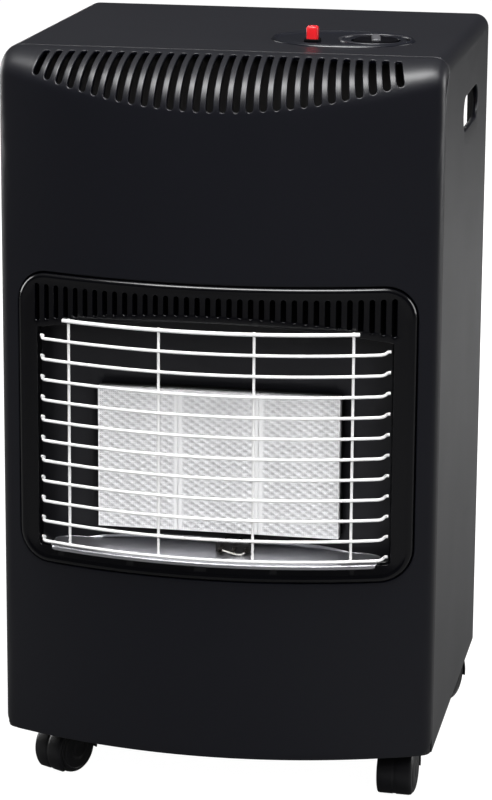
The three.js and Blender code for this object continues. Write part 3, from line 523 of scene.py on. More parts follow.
def grown_mesh(tree, mesh, **values):
    """The plain mesh that a tree makes from a mesh; underscores stand for spaces in input names."""
    carrier = new_object(tree.name, mesh)
    growth = carrier.modifiers.new("growth", "NODES")
    growth.node_group = tree
    for item in tree.interface.items_tree:
        key = item.name.replace(" ", "_")
        if item.in_out == "INPUT" and key in values:
            growth[item.identifier] = values[key]
    made = evaluated_mesh(carrier)
    carrier.modifiers.clear()
    bpy.data.objects.remove(carrier)
    bpy.data.meshes.remove(mesh)
    return made


def wires(paths, radius, sides=12):
    """Round wires along paths of points, all in the cabinet's millimetres."""
    points, edges = [], []
    for path in paths:
        start = len(points)
        points += path
        edges += [(start + i, start + i + 1) for i in range(len(path) - 1)]
    mesh = plain_mesh("paths", points, edges, [])
    return grown_mesh(ROUND_WIRES, mesh, Wire_Radius=radius * MM, Sides=sides)


def joined_meshes(meshes):
    """One mesh from several."""
    work = bmesh.new()
    for mesh in meshes:
        work.from_mesh(mesh)
    whole = bpy.data.meshes.new("joined")
    work.to_mesh(whole)
    work.free()
    for mesh in meshes:
        bpy.data.meshes.remove(mesh)
    return whole


ROUND_WIRES = wire_group()
REPEATS = repeat_group()
DIAMONDS = relief_group()

# ---- Materials ----

HOLE_PITCH = 2.1
HOLE_EDGE = (0.68, 0.86)
# Painted shade: these tones darken the plaques' burner holes and pressed wells.
HOLE_SHADE_TONE = (0.50, 0.50, 0.51, 1)
WELL_SHADE_TONE = (0.76, 0.76, 0.77, 1)


def grain_group():
    """Fine surface grain: bump from small noise, roughness and tone from broad noise."""
    inputs = [("Color", "Color", (0.5, 0.5, 0.5, 1)), ("Roughness", "Float", 0.5)]
    inputs += [("Grain Scale", "Float", 1500), ("Grain Height", "Float", 0.2)]
    inputs += [("Tone Scale", "Float", 9), ("Tone Spread", "Float", 0.15)]
    inputs += [("Roughness Spread", "Float", 0.1)]
    outputs = [("Color", "Color"), ("Roughness", "Float"), ("Normal", "Vector")]
    group, given, result = new_group("surface_grain", "ShaderNodeTree", inputs, outputs)
    given = given.outputs
    where = add_node(group, "ShaderNodeTexCoord").outputs["Object"]
    # Fine grain has more detail than the broad tone.
    noise = {}
    for name, detail in (("Grain", 3), ("Tone", 2)):
        field = {"Vector": where, "Scale": given[name + " Scale"], "Detail": detail}
        noise[name] = add_node(group, "ShaderNodeTexNoise", field).outputs["Fac"]
    bump = {"Distance": 0.0001, "Strength": given["Grain Height"], "Height": noise["Grain"]}
    low = calc(group, "MULTIPLY_ADD", given["Tone Spread"], -0.5, 1)
    tone = calc(group, "MULTIPLY_ADD", noise["Tone"], given["Tone Spread"], low)
    tint = add_node(group, "ShaderNodeVectorMath", {0: given["Color"], "Scale": tone}, operation="SCALE")
    swing = calc(group, "SUBTRACT", noise["Tone"], 0.5)
    vary = calc(group, "MULTIPLY_ADD", swing, given["Roughness Spread"], given["Roughness"])
    bump = add_node(group, "ShaderNodeBump", bump)
    made = {"Color": tint.outputs["Vector"], "Roughness": vary, "Normal": bump.outputs["Normal"]}
    feed(group, result, made)
    return group


def holes_group():
    """A mask that is 1 in small round holes set in staggered rows over X and Z."""
    sockets = [("Pitch", "Float", 0.002)], [("Mask", "Float")]
    group, given, result = new_group("burner_holes", "ShaderNodeTree", *sockets)
    where = add_node(group, "ShaderNodeTexCoord").outputs["Object"]
    split = add_node(group, "ShaderNodeSeparateXYZ", {"Vector": where})
    waves = []
    for axis in ("X", "Z"):
        turn = calc(group, "DIVIDE", split.outputs[axis], given.outputs["Pitch"])
        waves.append(calc(group, "SINE", calc(group, "MULTIPLY", turn, math.pi)))
    peak = calc(group, "ABSOLUTE", calc(group, "MULTIPLY", *waves))
    edge = {"Value": peak, "From Min": HOLE_EDGE[0], "From Max": HOLE_EDGE[1]}
    feed(group, result, {"Mask": add_node(group, "ShaderNodeMapRange", edge).outputs["Result"]})
    return group


SURFACE = grain_group()
HOLES = holes_group()


def material(name, color, roughness, metallic=0, grain=(1500, 0.2), vary=0.08, tone=(9, 0.12), **sockets):
    """A surface whose colour, roughness and normal come from the shared grain."""
    made = bpy.data.materials.new(name)
    made.use_nodes = True
    tree = made.node_tree
    values = {"Color": (*color, 1), "Roughness": roughness, "Roughness Spread": vary}
    values |= {"Grain Scale": grain[0], "Grain Height": grain[1]}
    values |= {"Tone Scale": tone[0], "Tone Spread": tone[1]}
    grained = add_node(tree, "ShaderNodeGroup", values, node_tree=SURFACE).outputs
    looks = {"Base Color": grained["Color"], "Roughness": grained["Roughness"], "Normal": grained["Normal"]}
    looks |= {"Metallic": metallic}
    looks |= {socket.replace("_", " "): value for socket, value in sockets.items()}
    feed(tree, tree.nodes["Principled BSDF"], looks)
    return made


def ceramic_material():
    """Ceramic plaque with painted shade: darker in the pressed wells and in rows of tiny burner holes
    inside its border.
    """
    made = material("ceramic", (0.88, 0.88, 0.89), 0.8, grain=(2500, 0.3), tone=(25, 0.06))
    tree = made.node_tree
    grained = next(n for n in tree.nodes if n.type == "GROUP").outputs
    mask = add_node(tree, "ShaderNodeGroup", {"Pitch": HOLE_PITCH * MM}, node_tree=HOLES).outputs["Mask"]
    relief = add_node(tree, "ShaderNodeAttribute", attribute_name="relief").outputs["Fac"]
    well = add_node(tree, "ShaderNodeAttribute", attribute_name="well").outputs["Fac"]
    holes = calc(tree, "MULTIPLY", mask, relief)
    # Painted shade: the holes and then the wells darken the ceramic's colour.
    tint = {"Factor": holes, "A": grained["Color"], "B": HOLE_SHADE_TONE}
    tint = add_node(tree, "ShaderNodeMix", tint, data_type="RGBA").outputs["Result"]
    painted_well_shade = {"Factor": well, "A": tint, "B": WELL_SHADE_TONE}
    painted_well_shade = add_node(tree, "ShaderNodeMix", painted_well_shade, data_type="RGBA", blend_type="MULTIPLY")
    dent = {"Strength": 0.6, "Distance": 0.0005, "Height": holes, "Normal": grained["Normal"]}
    dent = add_node(tree, "ShaderNodeBump", dent, invert=True)
    looks = {"Base Color": painted_well_shade.outputs["Result"], "Normal": dent.outputs["Normal"]}
    feed(tree, tree.nodes["Principled BSDF"], looks)
    return made


BLACK_COAT = material("black powder coat", (0.0020, 0.0022, 0.0044), 0.40, grain=(850, 0.3), vary=0.05)
BLACK_ENAMEL = material(
    "black stove enamel", (0.0006, 0.0006, 0.0012), 0.18, grain=(450, 0.06), Specular_IOR_Level=0.45
)
PAN_ENAMEL = material("dark burner pan", (0.010, 0.010, 0.012), 0.42, grain=(600, 0.15), tone=(14, 0.25))
WHITE_ENAMEL = material("white enamel", (0.80, 0.80, 0.80), 0.3, grain=(400, 0.06), tone=(60, 0.06))
CERAMIC = ceramic_material()
FIBRE = material("ceramic fibre", (0.82, 0.82, 0.82), 0.95, grain=(2200, 0.5))
POLISHED = material("polished sheet", (0.78, 0.78, 0.82), 0.36, 1, grain=(600, 0.06), vary=0.15)
PLATED = material("plated steel", (0.52, 0.52, 0.53), 0.32, 1, grain=(900, 0.15), vary=0.15)
# Dark steel, partly painted shade: on the heat shield it keeps the louvres as black as the shade behind
# them.
DARK_STEEL_WITH_PAINTED_SHADE = material("dark steel with painted shade", (0.018, 0.017, 0.017), 0.5, 0.4, grain=(900, 0.25), tone=(30, 0.4))
SOOTED = material("sooted brass", (0.05, 0.045, 0.04), 0.42, 0.8, grain=(900, 0.3), tone=(60, 0.5))
BRASS = material("brass", (0.55, 0.38, 0.14), 0.3, 1, grain=(900, 0.12), tone=(40, 0.2))
COPPER = material("copper", (0.60, 0.30, 0.18), 0.3, 1, grain=(700, 0.1), tone=(30, 0.3))
BLACK_PLASTIC = material("black plastic", (0.0025, 0.003, 0.006), 0.24, grain=(1400, 0.1))
KNOB_PLASTIC = material(
    "knob plastic", (0.0022, 0.0022, 0.003), 0.6, grain=(1400, 0.12), Specular_IOR_Level=0.02
)
CASTER_PLASTIC = material("caster plastic", (0.004, 0.004, 0.005), 0.36, grain=(1200, 0.15))
TREAD = material("wheel tread", (0.006, 0.006, 0.007), 0.45, grain=(800, 0.25))
# Dark ring plastic with a base lighter than the black plastic: a painted sheen for the knob ring's
# highlight.
KNOB_RING_SHEEN_PLASTIC = material("ring plastic with painted sheen", (0.02, 0.02, 0.024), 0.22, grain=(1400, 0.08))
GREY_GRIP = material("grey grip", (0.055, 0.055, 0.06), 0.38, grain=(1200, 0.12))
RED = material("red button", (0.52, 0.010, 0.014), 0.25, grain=(900, 0.05), tone=(60, 0.06))
# Pale sleeve colour, also used on the electrode wire as a painted highlight.
LEAD_SLEEVE_AND_HIGHLIGHT = material("lead sleeve", (0.62, 0.61, 0.57), 0.6, grain=(1500, 0.3))
MATT_BLACK = material("matt black", (0.0025, 0.0025, 0.003), 0.7, Specular_IOR_Level=0.05)

SOOTED_NODES = ("pilot_burner", "thermocouple", "ignition_electrode")
CAD_FINISHES = {
    "black_coat": BLACK_COAT,
    "black_enamel": BLACK_ENAMEL,
    "white_enamel": WHITE_ENAMEL,
    "ceramic": FIBRE,
    "polished_steel": POLISHED,
    "bright_steel": PLATED,
    "dark_steel": DARK_STEEL_WITH_PAINTED_SHADE,
    "brass": BRASS,
    "copper": COPPER,
    "black_plastic": BLACK_PLASTIC,
    "grey_plastic": TREAD,
    "red_plastic": RED,
    "lead_sleeve": LEAD_SLEEVE_AND_HIGHLIGHT,
}


def dress_cad_nodes():
    """Every CAD node gets its slot's finish, for those that stay visible; flame-side parts are sooted."""
    for row in frame["record"]["subparts"]:
        node = frame["nodes"][row["node"]]
        finish = SOOTED if row["node"] in SOOTED_NODES else CAD_FINISHES[row["material_slot"]]
        node.data.materials.clear()
        node.data.materials.append(finish)


dress_cad_nodes()

# ---- Front panel: bowed face, rounded shoulder, fanned louvres and the window for the bezel ----


def bow_fraction(x):
    """How far the bow stands out: 1 in the middle and 0 at the sides."""
    return max(0, 1 - (x / HALF_WIDTH) ** 2)


def face_y(x):
    return -SIDE_DEPTH / 2 - FRONT_BOW * bow_fraction(x)


def fold_drop(x):
    """How far the fold between top and side has come down at x."""
    over = max(0, abs(x) - (HALF_WIDTH - FOLD_RADIUS))
    return FOLD_RADIUS - math.sqrt(max(FOLD_RADIUS**2 - over**2, 0))


def shoulder_foot(x):
    """The height where the shoulder ends and the straight face starts."""
    return TOP - SHOULDER_END - (SHOULDER_MIDDLE - SHOULDER_END) * bow_fraction(x)


SEAM_E = EDGE_X + EDGE_RUN
BELOW_SHOULDER = 60
ROLL = 0.9
PANEL_RETURN = 4


def plan_point(e):
    """The front's plan outline at e: along X on the bow, then round the corner to the side seam."""
    side = math.copysign(1, e)
    if abs(e) <= EDGE_X:
        return e, face_y(e)
    t = min((abs(e) - EDGE_X) / EDGE_RUN, 1)
    start, turn = (EDGE_X, face_y(EDGE_X)), (HALF_WIDTH, -SIDE_DEPTH / 2)
    end = (HALF_WIDTH, SIDE_SEAM_Y - ROLL)
    x, y = ((1 - t) ** 2 * a + 2 * t * (1 - t) * b + t * t * c for a, b, c in zip(start, turn, end))
    return side * x, y


def front_surface(e, t):
    """Shoulder for t from 0 at the seam to 1, then straight down the face."""
    x, y = plan_point(e)
    foot, head = shoulder_foot(x), TOP - fold_drop(x)
    angle = min(t, 1) * math.pi / 2
    z = foot + (head - foot) * math.cos(angle) - max(t - 1, 0) * BELOW_SHOULDER
    seam = TOP_SEAM_Y - ROLL
    return Vector((x, seam - (seam - y) * math.sin(angle), z))


def face_surface(e, z):
    x, y = plan_point(e)
    return Vector((x, y, z))


# Louvre lanes: where they fan out and end in t, how far a cell reaches past its louvre, and rows.
FAN_START = 0.15
FAN_RUN = 0.8
CELL_HEAD = 0.014
CELL_FOOT = 0.8
LANE_FOOT = 1.25
LANE_ROWS = 20
HEAD_ROWS = 3
FOOT_ROWS = 8
CAP_STEPS = 6
EDGE_COLUMNS = 5
CORNER_COLUMNS = 8


def lane_x(lane, t):
    """X of a louvre lane; lanes spread from the shoulder's top to its foot."""
    share = min(max((t - FAN_START) / FAN_RUN, 0), 1)
    half = (LOUVRES - 1) / 2
    return lane * (LOUVRE_TOP_SPREAD + (LOUVRE_BOTTOM_SPREAD - LOUVRE_TOP_SPREAD) * share) / half


def lane_sizes(lane):
    """Plan depth and height of the shoulder at a lane, and where its louvre starts and ends."""
    x = lane_x(lane, 0.9)
    depth = TOP_SEAM_Y - face_y(x)
    height = TOP - shoulder_foot(x)
    head = math.asin(LOUVRE_SETBACK / depth) / (math.pi / 2)
    foot_z = LOUVRE_BOTTOM + LOUVRE_BOTTOM_RISE * (x / LOUVRE_BOTTOM_SPREAD) ** 2
    foot = math.acos(min(max((foot_z - shoulder_foot(x)) / height, 0), 1)) / (math.pi / 2)
    return depth, height, head, foot


def lane_span(lane):
    """Where the lane's cell starts and ends, just outside its louvre."""
    _, height, head, foot = lane_sizes(lane)
    return head - CELL_HEAD, foot + CELL_FOOT / height


def louvre_loop(lane):
    """One louvre's opening in (e, t): down its left side, round its foot, up and round its head."""
    depth, height, head, foot = lane_sizes(lane)
    half = LOUVRE_HALF + ROLL
    head_cap = half / (depth * math.cos(head * math.pi / 2) * math.pi / 2)
    foot_cap = half / (height * math.pi / 2)
    low, high = foot - foot_cap, head + head_cap
    loop = []
    for side, start, end, cap in ((-1, high, low, foot_cap), (1, low, high, -head_cap)):
        loop += [(lane_x(lane, t) + side * half, t) for t in spread(start, end, LANE_ROWS)[:-1]]
        for angle in spread(0, math.pi, CAP_STEPS)[:-1]:
            t = end + cap * math.sin(angle)
            loop.append((lane_x(lane, t) + side * half * math.cos(angle), t))
    return loop


def lane_ts(lane):
    """The rows of a column: above the louvres, beside them and below them."""
    start, end = lane_span(lane)
    above, beside = spread(0, start, HEAD_ROWS), spread(start, end, LANE_ROWS)
    return above[:-1] + beside[:-1] + spread(end, LANE_FOOT, FOOT_ROWS)


def lane_border(lane):
    """The edge of a louvre's cell in (e, t), with as many points as the louvre."""
    border = []
    for side, end in ((-1, 1), (1, 0)):
        column = lane + side / 2
        ts = lane_ts(column)[HEAD_ROWS : HEAD_ROWS + LANE_ROWS + 1][::-side]
        border += [(lane_x(column, t), t) for t in ts[:-1]]
        for step in range(CAP_STEPS):
            across = column - side * step / CAP_STEPS
            t = lane_span(across)[end]
            border.append((lane_x(across, t), t))
    return border


def strip_columns(t):
    """E values from the last louvre lane to the side seam at one t."""
    start = lane_x(LOUVRES / 2, t)
    return spread(start, EDGE_X, EDGE_COLUMNS)[:-1] + spread(EDGE_X, SEAM_E, CORNER_COLUMNS)


def bezel_loop(inward, side=BEZEL_SIDE, across=BEZEL_ACROSS):
    """The bezel's outline drawn in by a distance."""
    low, high = BEZEL_BOTTOM + inward, BEZEL_TOP - inward
    return rounded_loop(BEZEL_HALF - inward, low, high, BEZEL_CORNER - inward, side, across)


def bottom_edge(e):
    """The skirt's lower edge turns up round the front's lower corners."""
    x = plan_point(e)[0]
    return SKIRT + fold_drop(x) + ROLL


def shoulder_skin():
    """The shoulder: a cell round each louvre, rows above and below them, a strip at each end."""
    skin = Skin()
    for lane in centred(LOUVRES):
        skin.join(between_loops(louvre_loop(lane), lane_border(lane), (0, 0.5, 1), front_surface))
    columns = [-LOUVRES / 2 + step / CAP_STEPS for step in range(LOUVRES * CAP_STEPS + 1)]
    table = [lane_ts(column) for column in columns]
    bands = (range(HEAD_ROWS + 1), range(HEAD_ROWS + LANE_ROWS, HEAD_ROWS + LANE_ROWS + FOOT_ROWS + 1))
    for band in bands:
        rows = []
        for row in band:
            rows.append([front_surface(lane_x(c, ts[row]), ts[row]) for c, ts in zip(columns, table)])
        skin.grid(rows)
    for side in (-1, 1):
        rows = [[front_surface(side * e, t) for e in strip_columns(t)] for t in lane_ts(LOUVRES / 2)]
        if side < 0:
            rows = [row[::-1] for row in rows]
        skin.grid(rows)
    return skin


def front_panel_skin():
    """The shoulder, then the face between the louvres' foot, the side seams and the bezel's window."""
    skin = shoulder_skin()
    foot_es = [-e for e in reversed(strip_columns(LANE_FOOT))]
    for step in range(LOUVRES * CAP_STEPS):
        foot_es.append(lane_x(-LOUVRES / 2 + (step + 1) / CAP_STEPS, LANE_FOOT))
    foot_es += strip_columns(LANE_FOOT)[1:]
    across, side = len(foot_es) - 1, 44
    head_z = [front_surface(e, LANE_FOOT).z for e in foot_es]
    outer = line((-SEAM_E, head_z[0]), (-SEAM_E, bottom_edge(SEAM_E)), side)
    outer += [(e, bottom_edge(e)) for e in foot_es[:-1]]
    outer += line((SEAM_E, bottom_edge(SEAM_E)), (SEAM_E, head_z[-1]), side)
    outer += [(e, z) for e, z in zip(reversed(foot_es[1:]), reversed(head_z[1:]))]
    grow = BEZEL_GROOVE + ROLL
    hole = bezel_loop(-grow, side, across)
    weights = (0, 0.02, 0.06, 0.12, 0.2, 0.32, 0.45, 0.6, 0.75, 0.88, 0.96, 1)
    skin.join(between_loops(hole, outer, weights, face_surface))
    return skin.welded()


panel = roll_edges(front_panel_skin(), ROLL, PANEL_RETURN, 4)
make_piece("front_panel_skin", panel, BLACK_COAT, "cabinet", ["front_panel"], SHEET)

SHIELD_HALF = 195.4
SHIELD_Y = -157.6
SHIELD_BOTTOM = 519.8
SHIELD_RISE = 206.6
SHIELD_FLANGE = ((-157.4, 727.1), (-156.8, 727.5), (-153, 727.6))


def heat_shield_skin():
    """The sheet behind the louvres, with a flange along its top."""
    columns = spread(-SHIELD_HALF, SHIELD_HALF, 40)
    profile = [(SHIELD_Y, SHIELD_BOTTOM + SHIELD_RISE * step / 20) for step in range(21)]
    profile += SHIELD_FLANGE
    return Skin().grid([[(x, y, z) for x in columns] for y, z in reversed(profile)])


# Painted shade: the sheet's dark steel stands in for the shade seen through the louvres.
make_piece(
    "heat_shield_sheet", heat_shield_skin(), DARK_STEEL_WITH_PAINTED_SHADE, "cabinet", ["heat_shield"], 0.7
)

# ---- Wrapped cabinet sheet: top, folds and sides in one skin ----

HAND_HOLD_Y = 34
HAND_HOLD_Z = 656
HAND_HOLD_HALF_LENGTH = 60
HAND_HOLD_HALF_HEIGHT = 17
REAR_FLANGE = 20
SEAM_GAP = 1.1
SHELL_RETURN = 5
CONTROLS_CUT = (62, 46)


def seam_y(z):
    """Where the side's front edge lies: at the top seam on the fold, then curving to the side seam."""
    foot = shoulder_foot(HALF_WIDTH)
    head = TOP - FOLD_RADIUS
    share = min(max((z - foot) / (head - foot), 0), 1)
    run = TOP_SEAM_Y - SIDE_SEAM_Y
    return TOP_SEAM_Y - run * math.sqrt(1 - share**2) + SEAM_GAP + ROLL


def stadium_loop(centre, half_length, half_height, side, across):
    """A stadium in two coordinates, anticlockwise from its upper left."""
    radius = half_height
    a, b = centre[0] - half_length + radius, centre[0] + half_length - radius
    z = centre[1]
    parts = [
        arc((a, z), radius, 135, 225, 12),
        arc((a, z), radius, 225, 270, 6) + arc((b, z), radius, 270, 315, 6),
        arc((b, z), radius, 315, 405, 12),
        arc((b, z), radius, 45, 90, 6) + arc((a, z), radius, 90, 135, 6),
    ]
    return cut_loop(parts, side, across)


def ellipse_loop(centre, half_x, half_y, count, start=135):
    angles = [math.radians(start) + 2 * math.pi * step / count for step in range(count)]
    return [(centre[0] + half_x * math.cos(a), centre[1] + half_y * math.sin(a)) for a in angles]


def cabinet_shell_skin():
    """Both side walls with their hand-holds, the folds, and the top with its cut for the controls."""
    skin = Skin()
    rear = SIDE_DEPTH / 2 - ROLL
    fold_z = TOP - FOLD_RADIUS
    depth_steps, rise_steps, fold_steps, width_steps = 24, 30, 10, 24
    low = SKIRT + ROLL
    walls_z = spread(low, fold_z, rise_steps)
    fold_ys = spread(seam_y(fold_z), rear, depth_steps)
    # The wall in (y, z): seen from outside, Y runs right on the right wall and left on the left.
    outer = [(seam_y(z), z) for z in reversed(walls_z[1:])]
    outer += [(y, low) for y in spread(seam_y(low), rear, depth_steps)[:-1]]
    outer += [(rear, z) for z in walls_z[:-1]]
    outer += [(y, fold_z) for y in fold_ys[:0:-1]]
    halves = (HAND_HOLD_HALF_LENGTH + ROLL, HAND_HOLD_HALF_HEIGHT + ROLL)
    hole = stadium_loop((HAND_HOLD_Y, HAND_HOLD_Z), *halves, rise_steps, depth_steps)
    weights = (0, 0.03, 0.08, 0.25, 0.5, 0.8, 0.97, 1)
    for side in (-1, 1):
        wall = between_loops(hole, outer, weights, lambda y, z, s=side: (s * HALF_WIDTH, y, z))
        if side < 0:
            wall.faces = [face[::-1] for face in wall.faces]
        skin.join(wall)
        rows = []
        for step in range(fold_steps + 1):
            angle = math.pi / 2 * step / fold_steps
            z = fold_z + FOLD_RADIUS * math.sin(angle)
            x = side * (HALF_WIDTH - FOLD_RADIUS + FOLD_RADIUS * math.cos(angle))
            rows.append([(x, y, z) for y in fold_ys])
        skin.grid(rows if side < 0 else rows[::-1])

    half, front = HALF_WIDTH - FOLD_RADIUS, fold_ys[0]
    outer = [(-half, y) for y in fold_ys[:0:-1]]
    outer += line((-half, front), (half, front), width_steps)
    outer += [(half, y) for y in fold_ys[:-1]]
    outer += line((half, rear), (-half, rear), width_steps)
    hole = ellipse_loop((CONTROLS_X, CONTROLS_Y), *CONTROLS_CUT, len(outer))
    weights = (0, 0.03, 0.1, 0.4, 0.9, 0.99, 1)
    skin.join(between_loops(hole, outer, weights, lambda x, y: (x, y, TOP)))
    return skin.welded()


def shell_depth(point):
    return REAR_FLANGE if point.y > SIDE_DEPTH / 2 - 3 else SHELL_RETURN


shell = roll_edges(cabinet_shell_skin(), ROLL, shell_depth, 4)
make_piece("cabinet_shell_skin", shell, BLACK_COAT, "cabinet", ["cabinet_shell"], SHEET)

# ---- Burner bezel ----

TRIM_ROLL = 0.5
OPENING_RETURN = 8
SLOT_RETURN = 9
SLOTS_FROM = 470


def bezel_surface(x, z, height):
    return (x, face_y(x) - height, z)


def arch_z(x):
    """The opening's arched upper edge."""
    return ARCH_TOP - ARCH_FALL * (x / ARCH_REACH) ** 2


def inside(spot, loop):
    """Whether a spot lies inside a loop, by the crossings of a ray."""
    x, y = spot
    hit = False
    for (ax, ay), (bx, by) in zip(loop, loop[1:] + loop[:1]):
        if (ay > y) != (by > y) and x < (bx - ax) * (y - ay) / (by - ay) + ax:
            hit = not hit
    return hit


def filled_region(outer, holes, spacing):
    """Triangles between an outer loop and holes in two coordinates, with points spread inside."""
    points, edges, boxes = [], [], []
    for loop in [outer, *holes]:
        start = len(points)
        points += [Vector(p) for p in loop]
        edges += [(start + i, start + (i + 1) % len(loop)) for i in range(len(loop))]
    for loop in holes:
        xs, ys = [p[0] for p in loop], [p[1] for p in loop]
        boxes.append((min(xs), max(xs), min(ys), max(ys)))

    def covered(spot, margin=0):
        for loop, (left, right, low, high) in zip(holes, boxes):
            if left - margin < spot[0] < right + margin and low - margin < spot[1] < high + margin:
                if margin or inside(spot, loop):
                    return True
        return False

    rim = points[:]
    xs, ys = [p[0] for p in outer], [p[1] for p in outer]
    for col in range(1, int((max(xs) - min(xs)) / spacing) + 1):
        for row in range(1, int((max(ys) - min(ys)) / spacing) + 1):
            spot = (min(xs) + col * spacing, min(ys) + row * spacing)
            if inside(spot, outer) and not covered(spot):
                place = Vector(spot)
                if min((p - place).length_squared for p in rim) > (spacing * 0.6) ** 2:
                    points.append(place)
    made, _, faces, *_ = delaunay_2d_cdt(points, edges, [], 1, 1e-5)
    kept = []
    for face in faces:
        middle = sum((made[i] for i in face), Vector((0, 0))) / len(face)
        if inside(middle, outer) and not covered(middle):
            a, b, c = (made[i] for i in face[:3])
            turn = (b - a).cross(c - a)
            kept.append(list(face) if turn > 0 else list(face)[::-1])
    return made, kept


def rimmed_plate(rows, loop, holes, spacing, place):
    """A rim in closed rows, then the plate inside its last loop, with holes."""
    skin = Skin().grid(rows[::-1], closed=True)
    flat, faces = filled_region(loop, holes, spacing)
    return skin.add([place(*spot) for spot in flat], faces).welded()


def opening_loop():
    radius = OPENING_CORNER
    half = OPENING_HALF + ROLL
    bottom = OPENING_BOTTOM - ROLL
    left, right = -half + radius, half - radius
    loop = arc((left, bottom + radius), radius, 180, 270, 6) + line((left, bottom), (right, bottom), 60)[1:]
    loop += arc((right, bottom + radius), radius, 270, 360, 6)
    return loop + [(x, arch_z(x) + ROLL) for x in spread(half, -half, 80)]


def bezel_slot_loop(x):
    half = BEZEL_SLOT_HALF + TRIM_ROLL
    low, high = arch_z(x) + BEZEL_SLOT_LAND + BEZEL_SLOT_HALF, BEZEL_SLOT_TOP - BEZEL_SLOT_HALF
    return arc((x, high), half, 0, 180, 8) + arc((x, low), half, 180, 360, 8)


# Pairs of the distance in from the bezel's edge and the height over the front.
BEZEL_RIM = ((0, -8), (0, 0.4), (0.25, 1.5), (0.9, 2.6), (1.9, 3.4), (3.2, 3.9), (4.4, 3.9), (5.8, 3.3))
BEZEL_RIM += ((7.5, BEZEL_PLATE),)


def bezel_skin():
    """The rounded rim in loops, then the plate with its slots and opening."""
    rows = []
    for inward, height in BEZEL_RIM:
        loop = bezel_loop(inward)
        rows.append([bezel_surface(x, z, height) for x, z in loop])
    holes = [opening_loop(), *[bezel_slot_loop(i * BEZEL_SLOT_PITCH) for i in centred(BEZEL_SLOTS)]]
    return rimmed_plate(rows, loop, holes, 6, lambda x, z: bezel_surface(x, z, BEZEL_PLATE))


def bezel_depth(point):
    """How deep an edge goes back: the opening's, or a slot's."""
    opening = abs(point.x) < OPENING_HALF + 3 and point.z < SLOTS_FROM
    return OPENING_RETURN if opening else SLOT_RETURN


bezel = roll_edges(bezel_skin(), TRIM_ROLL, bezel_depth)
make_piece("burner_bezel_skin", bezel, BLACK_ENAMEL, "cabinet", ["burner_bezel"], SHEET)

# Painted shade: a matt black sheet stands in for the shade seen through the bezel's slots.
SHADE_SHEET_HALF = 177
SHADE_SHEET_TOP = 515
SHADE_SHEET_DEPTH = 11
SHADE_SHEET_LAND = 5
# Pairs of the depth behind the front and the height over the arch.
SHADE_SHEET_LIP = ((11.2, 4.5), (12.4, 4.2), (16, 4.2))


def slot_shade_sheet_skin():
    """Painted shade: a matt black sheet behind the slotted band, between the opening's arch and the bezel's
    top, standing in for the shade behind the slots.
    """
    columns = spread(-SHADE_SHEET_HALF, SHADE_SHEET_HALF, 60)
    rows = []
    for share in (0, 0.25, 0.5, 0.75, 1):
        falls = [(arch_z(x) + SHADE_SHEET_LAND - SHADE_SHEET_TOP) * share for x in columns]
        rows.append([(x, face_y(x) + SHADE_SHEET_DEPTH, SHADE_SHEET_TOP + f) for x, f in zip(columns, falls)])
    for deep, rise in SHADE_SHEET_LIP:
        rows.append([(x, face_y(x) + deep, arch_z(x) + rise) for x in columns])
    return Skin().grid(rows)


make_piece("slot_baffle", slot_shade_sheet_skin(), MATT_BLACK, thickness=0.6)

# ---- Wire guard ----

WIRE_STAND_OFF = 14
WIRE_FRONT = -SIDE_DEPTH / 2 - FRONT_BOW - WIRE_STAND_OFF
TOP_WIRE_TAIL = 5.5
WELD_DEPTH = 0.4


def wire_y(x):
    return WIRE_FRONT + WIRE_BOW * (x / WIRE_BOW_REACH) ** 2


def bowed_path(z, reach):
    return [(x, wire_y(x), z) for x in (reach * (2 * step / 40 - 1) for step in range(41))]


def guard_path(z):
    """A bowed wire that turns back at its ends and then outwards onto the bezel's lip."""
    reach = WIRE_REACH
    y = wire_y(reach)
    turn = [
        (reach + 2.6, y + 2.2, z),
        (reach + 4.4, y + 6.5, z),
        (reach + 5.2, WIRE_FOOT_Y - 2.6, z),
        (reach + 6.6, WIRE_FOOT_Y - 0.3, z),
        (WIRE_END, WIRE_FOOT_Y, z),
    ]
    bowed = bowed_path(z, reach)
    right = smooth_path([bowed[-2], bowed[-1], *turn], 5)[6:]
    left = [(-p[0], p[1], p[2]) for p in reversed(right)]
    return left + bowed + right


def wire_guard_mesh():
    """Eleven bowed wires with turned ends, a plain one on top and four uprights behind them."""
    pitch = (WIRE_TOP - WIRE_BOTTOM) / (WIRES - 1)
    lower = wires([guard_path(WIRE_TOP - pitch)], WIRE_RADIUS)
    rows = grown_mesh(REPEATS, lower, Up_Count=WIRES - 1, Up_Step=(0, 0, -pitch * MM))
    top = wires([bowed_path(WIRE_TOP, max(UPRIGHTS) + TOP_WIRE_TAIL)], TOP_WIRE_RADIUS, 14)
    uprights = []
    for x in UPRIGHTS:
        y = wire_y(x) + WIRE_RADIUS + UPRIGHT_RADIUS - WELD_DEPTH
        low, high = WIRE_BOTTOM - WIRE_RADIUS, WIRE_TOP + WIRE_RADIUS
        uprights.append([(x, y, z) for z in spread(low, high, 12)])
    return joined_meshes([rows, top, wires(uprights, UPRIGHT_RADIUS, 10)])


make_piece("wire_guard_wires", wire_guard_mesh(), WHITE_ENAMEL, replaces=["wire_guard"])

# ---- Burner: pan, plaques, reflector, pilot ----

PAN_INSET = 4
PAN_BACK = -160
PAN_CORNER = 9
PAN_LIP = 1.2
WINDOW_HALF = 117.8
WINDOW_GAP = 0.9
WINDOW_CORNER = 1.5


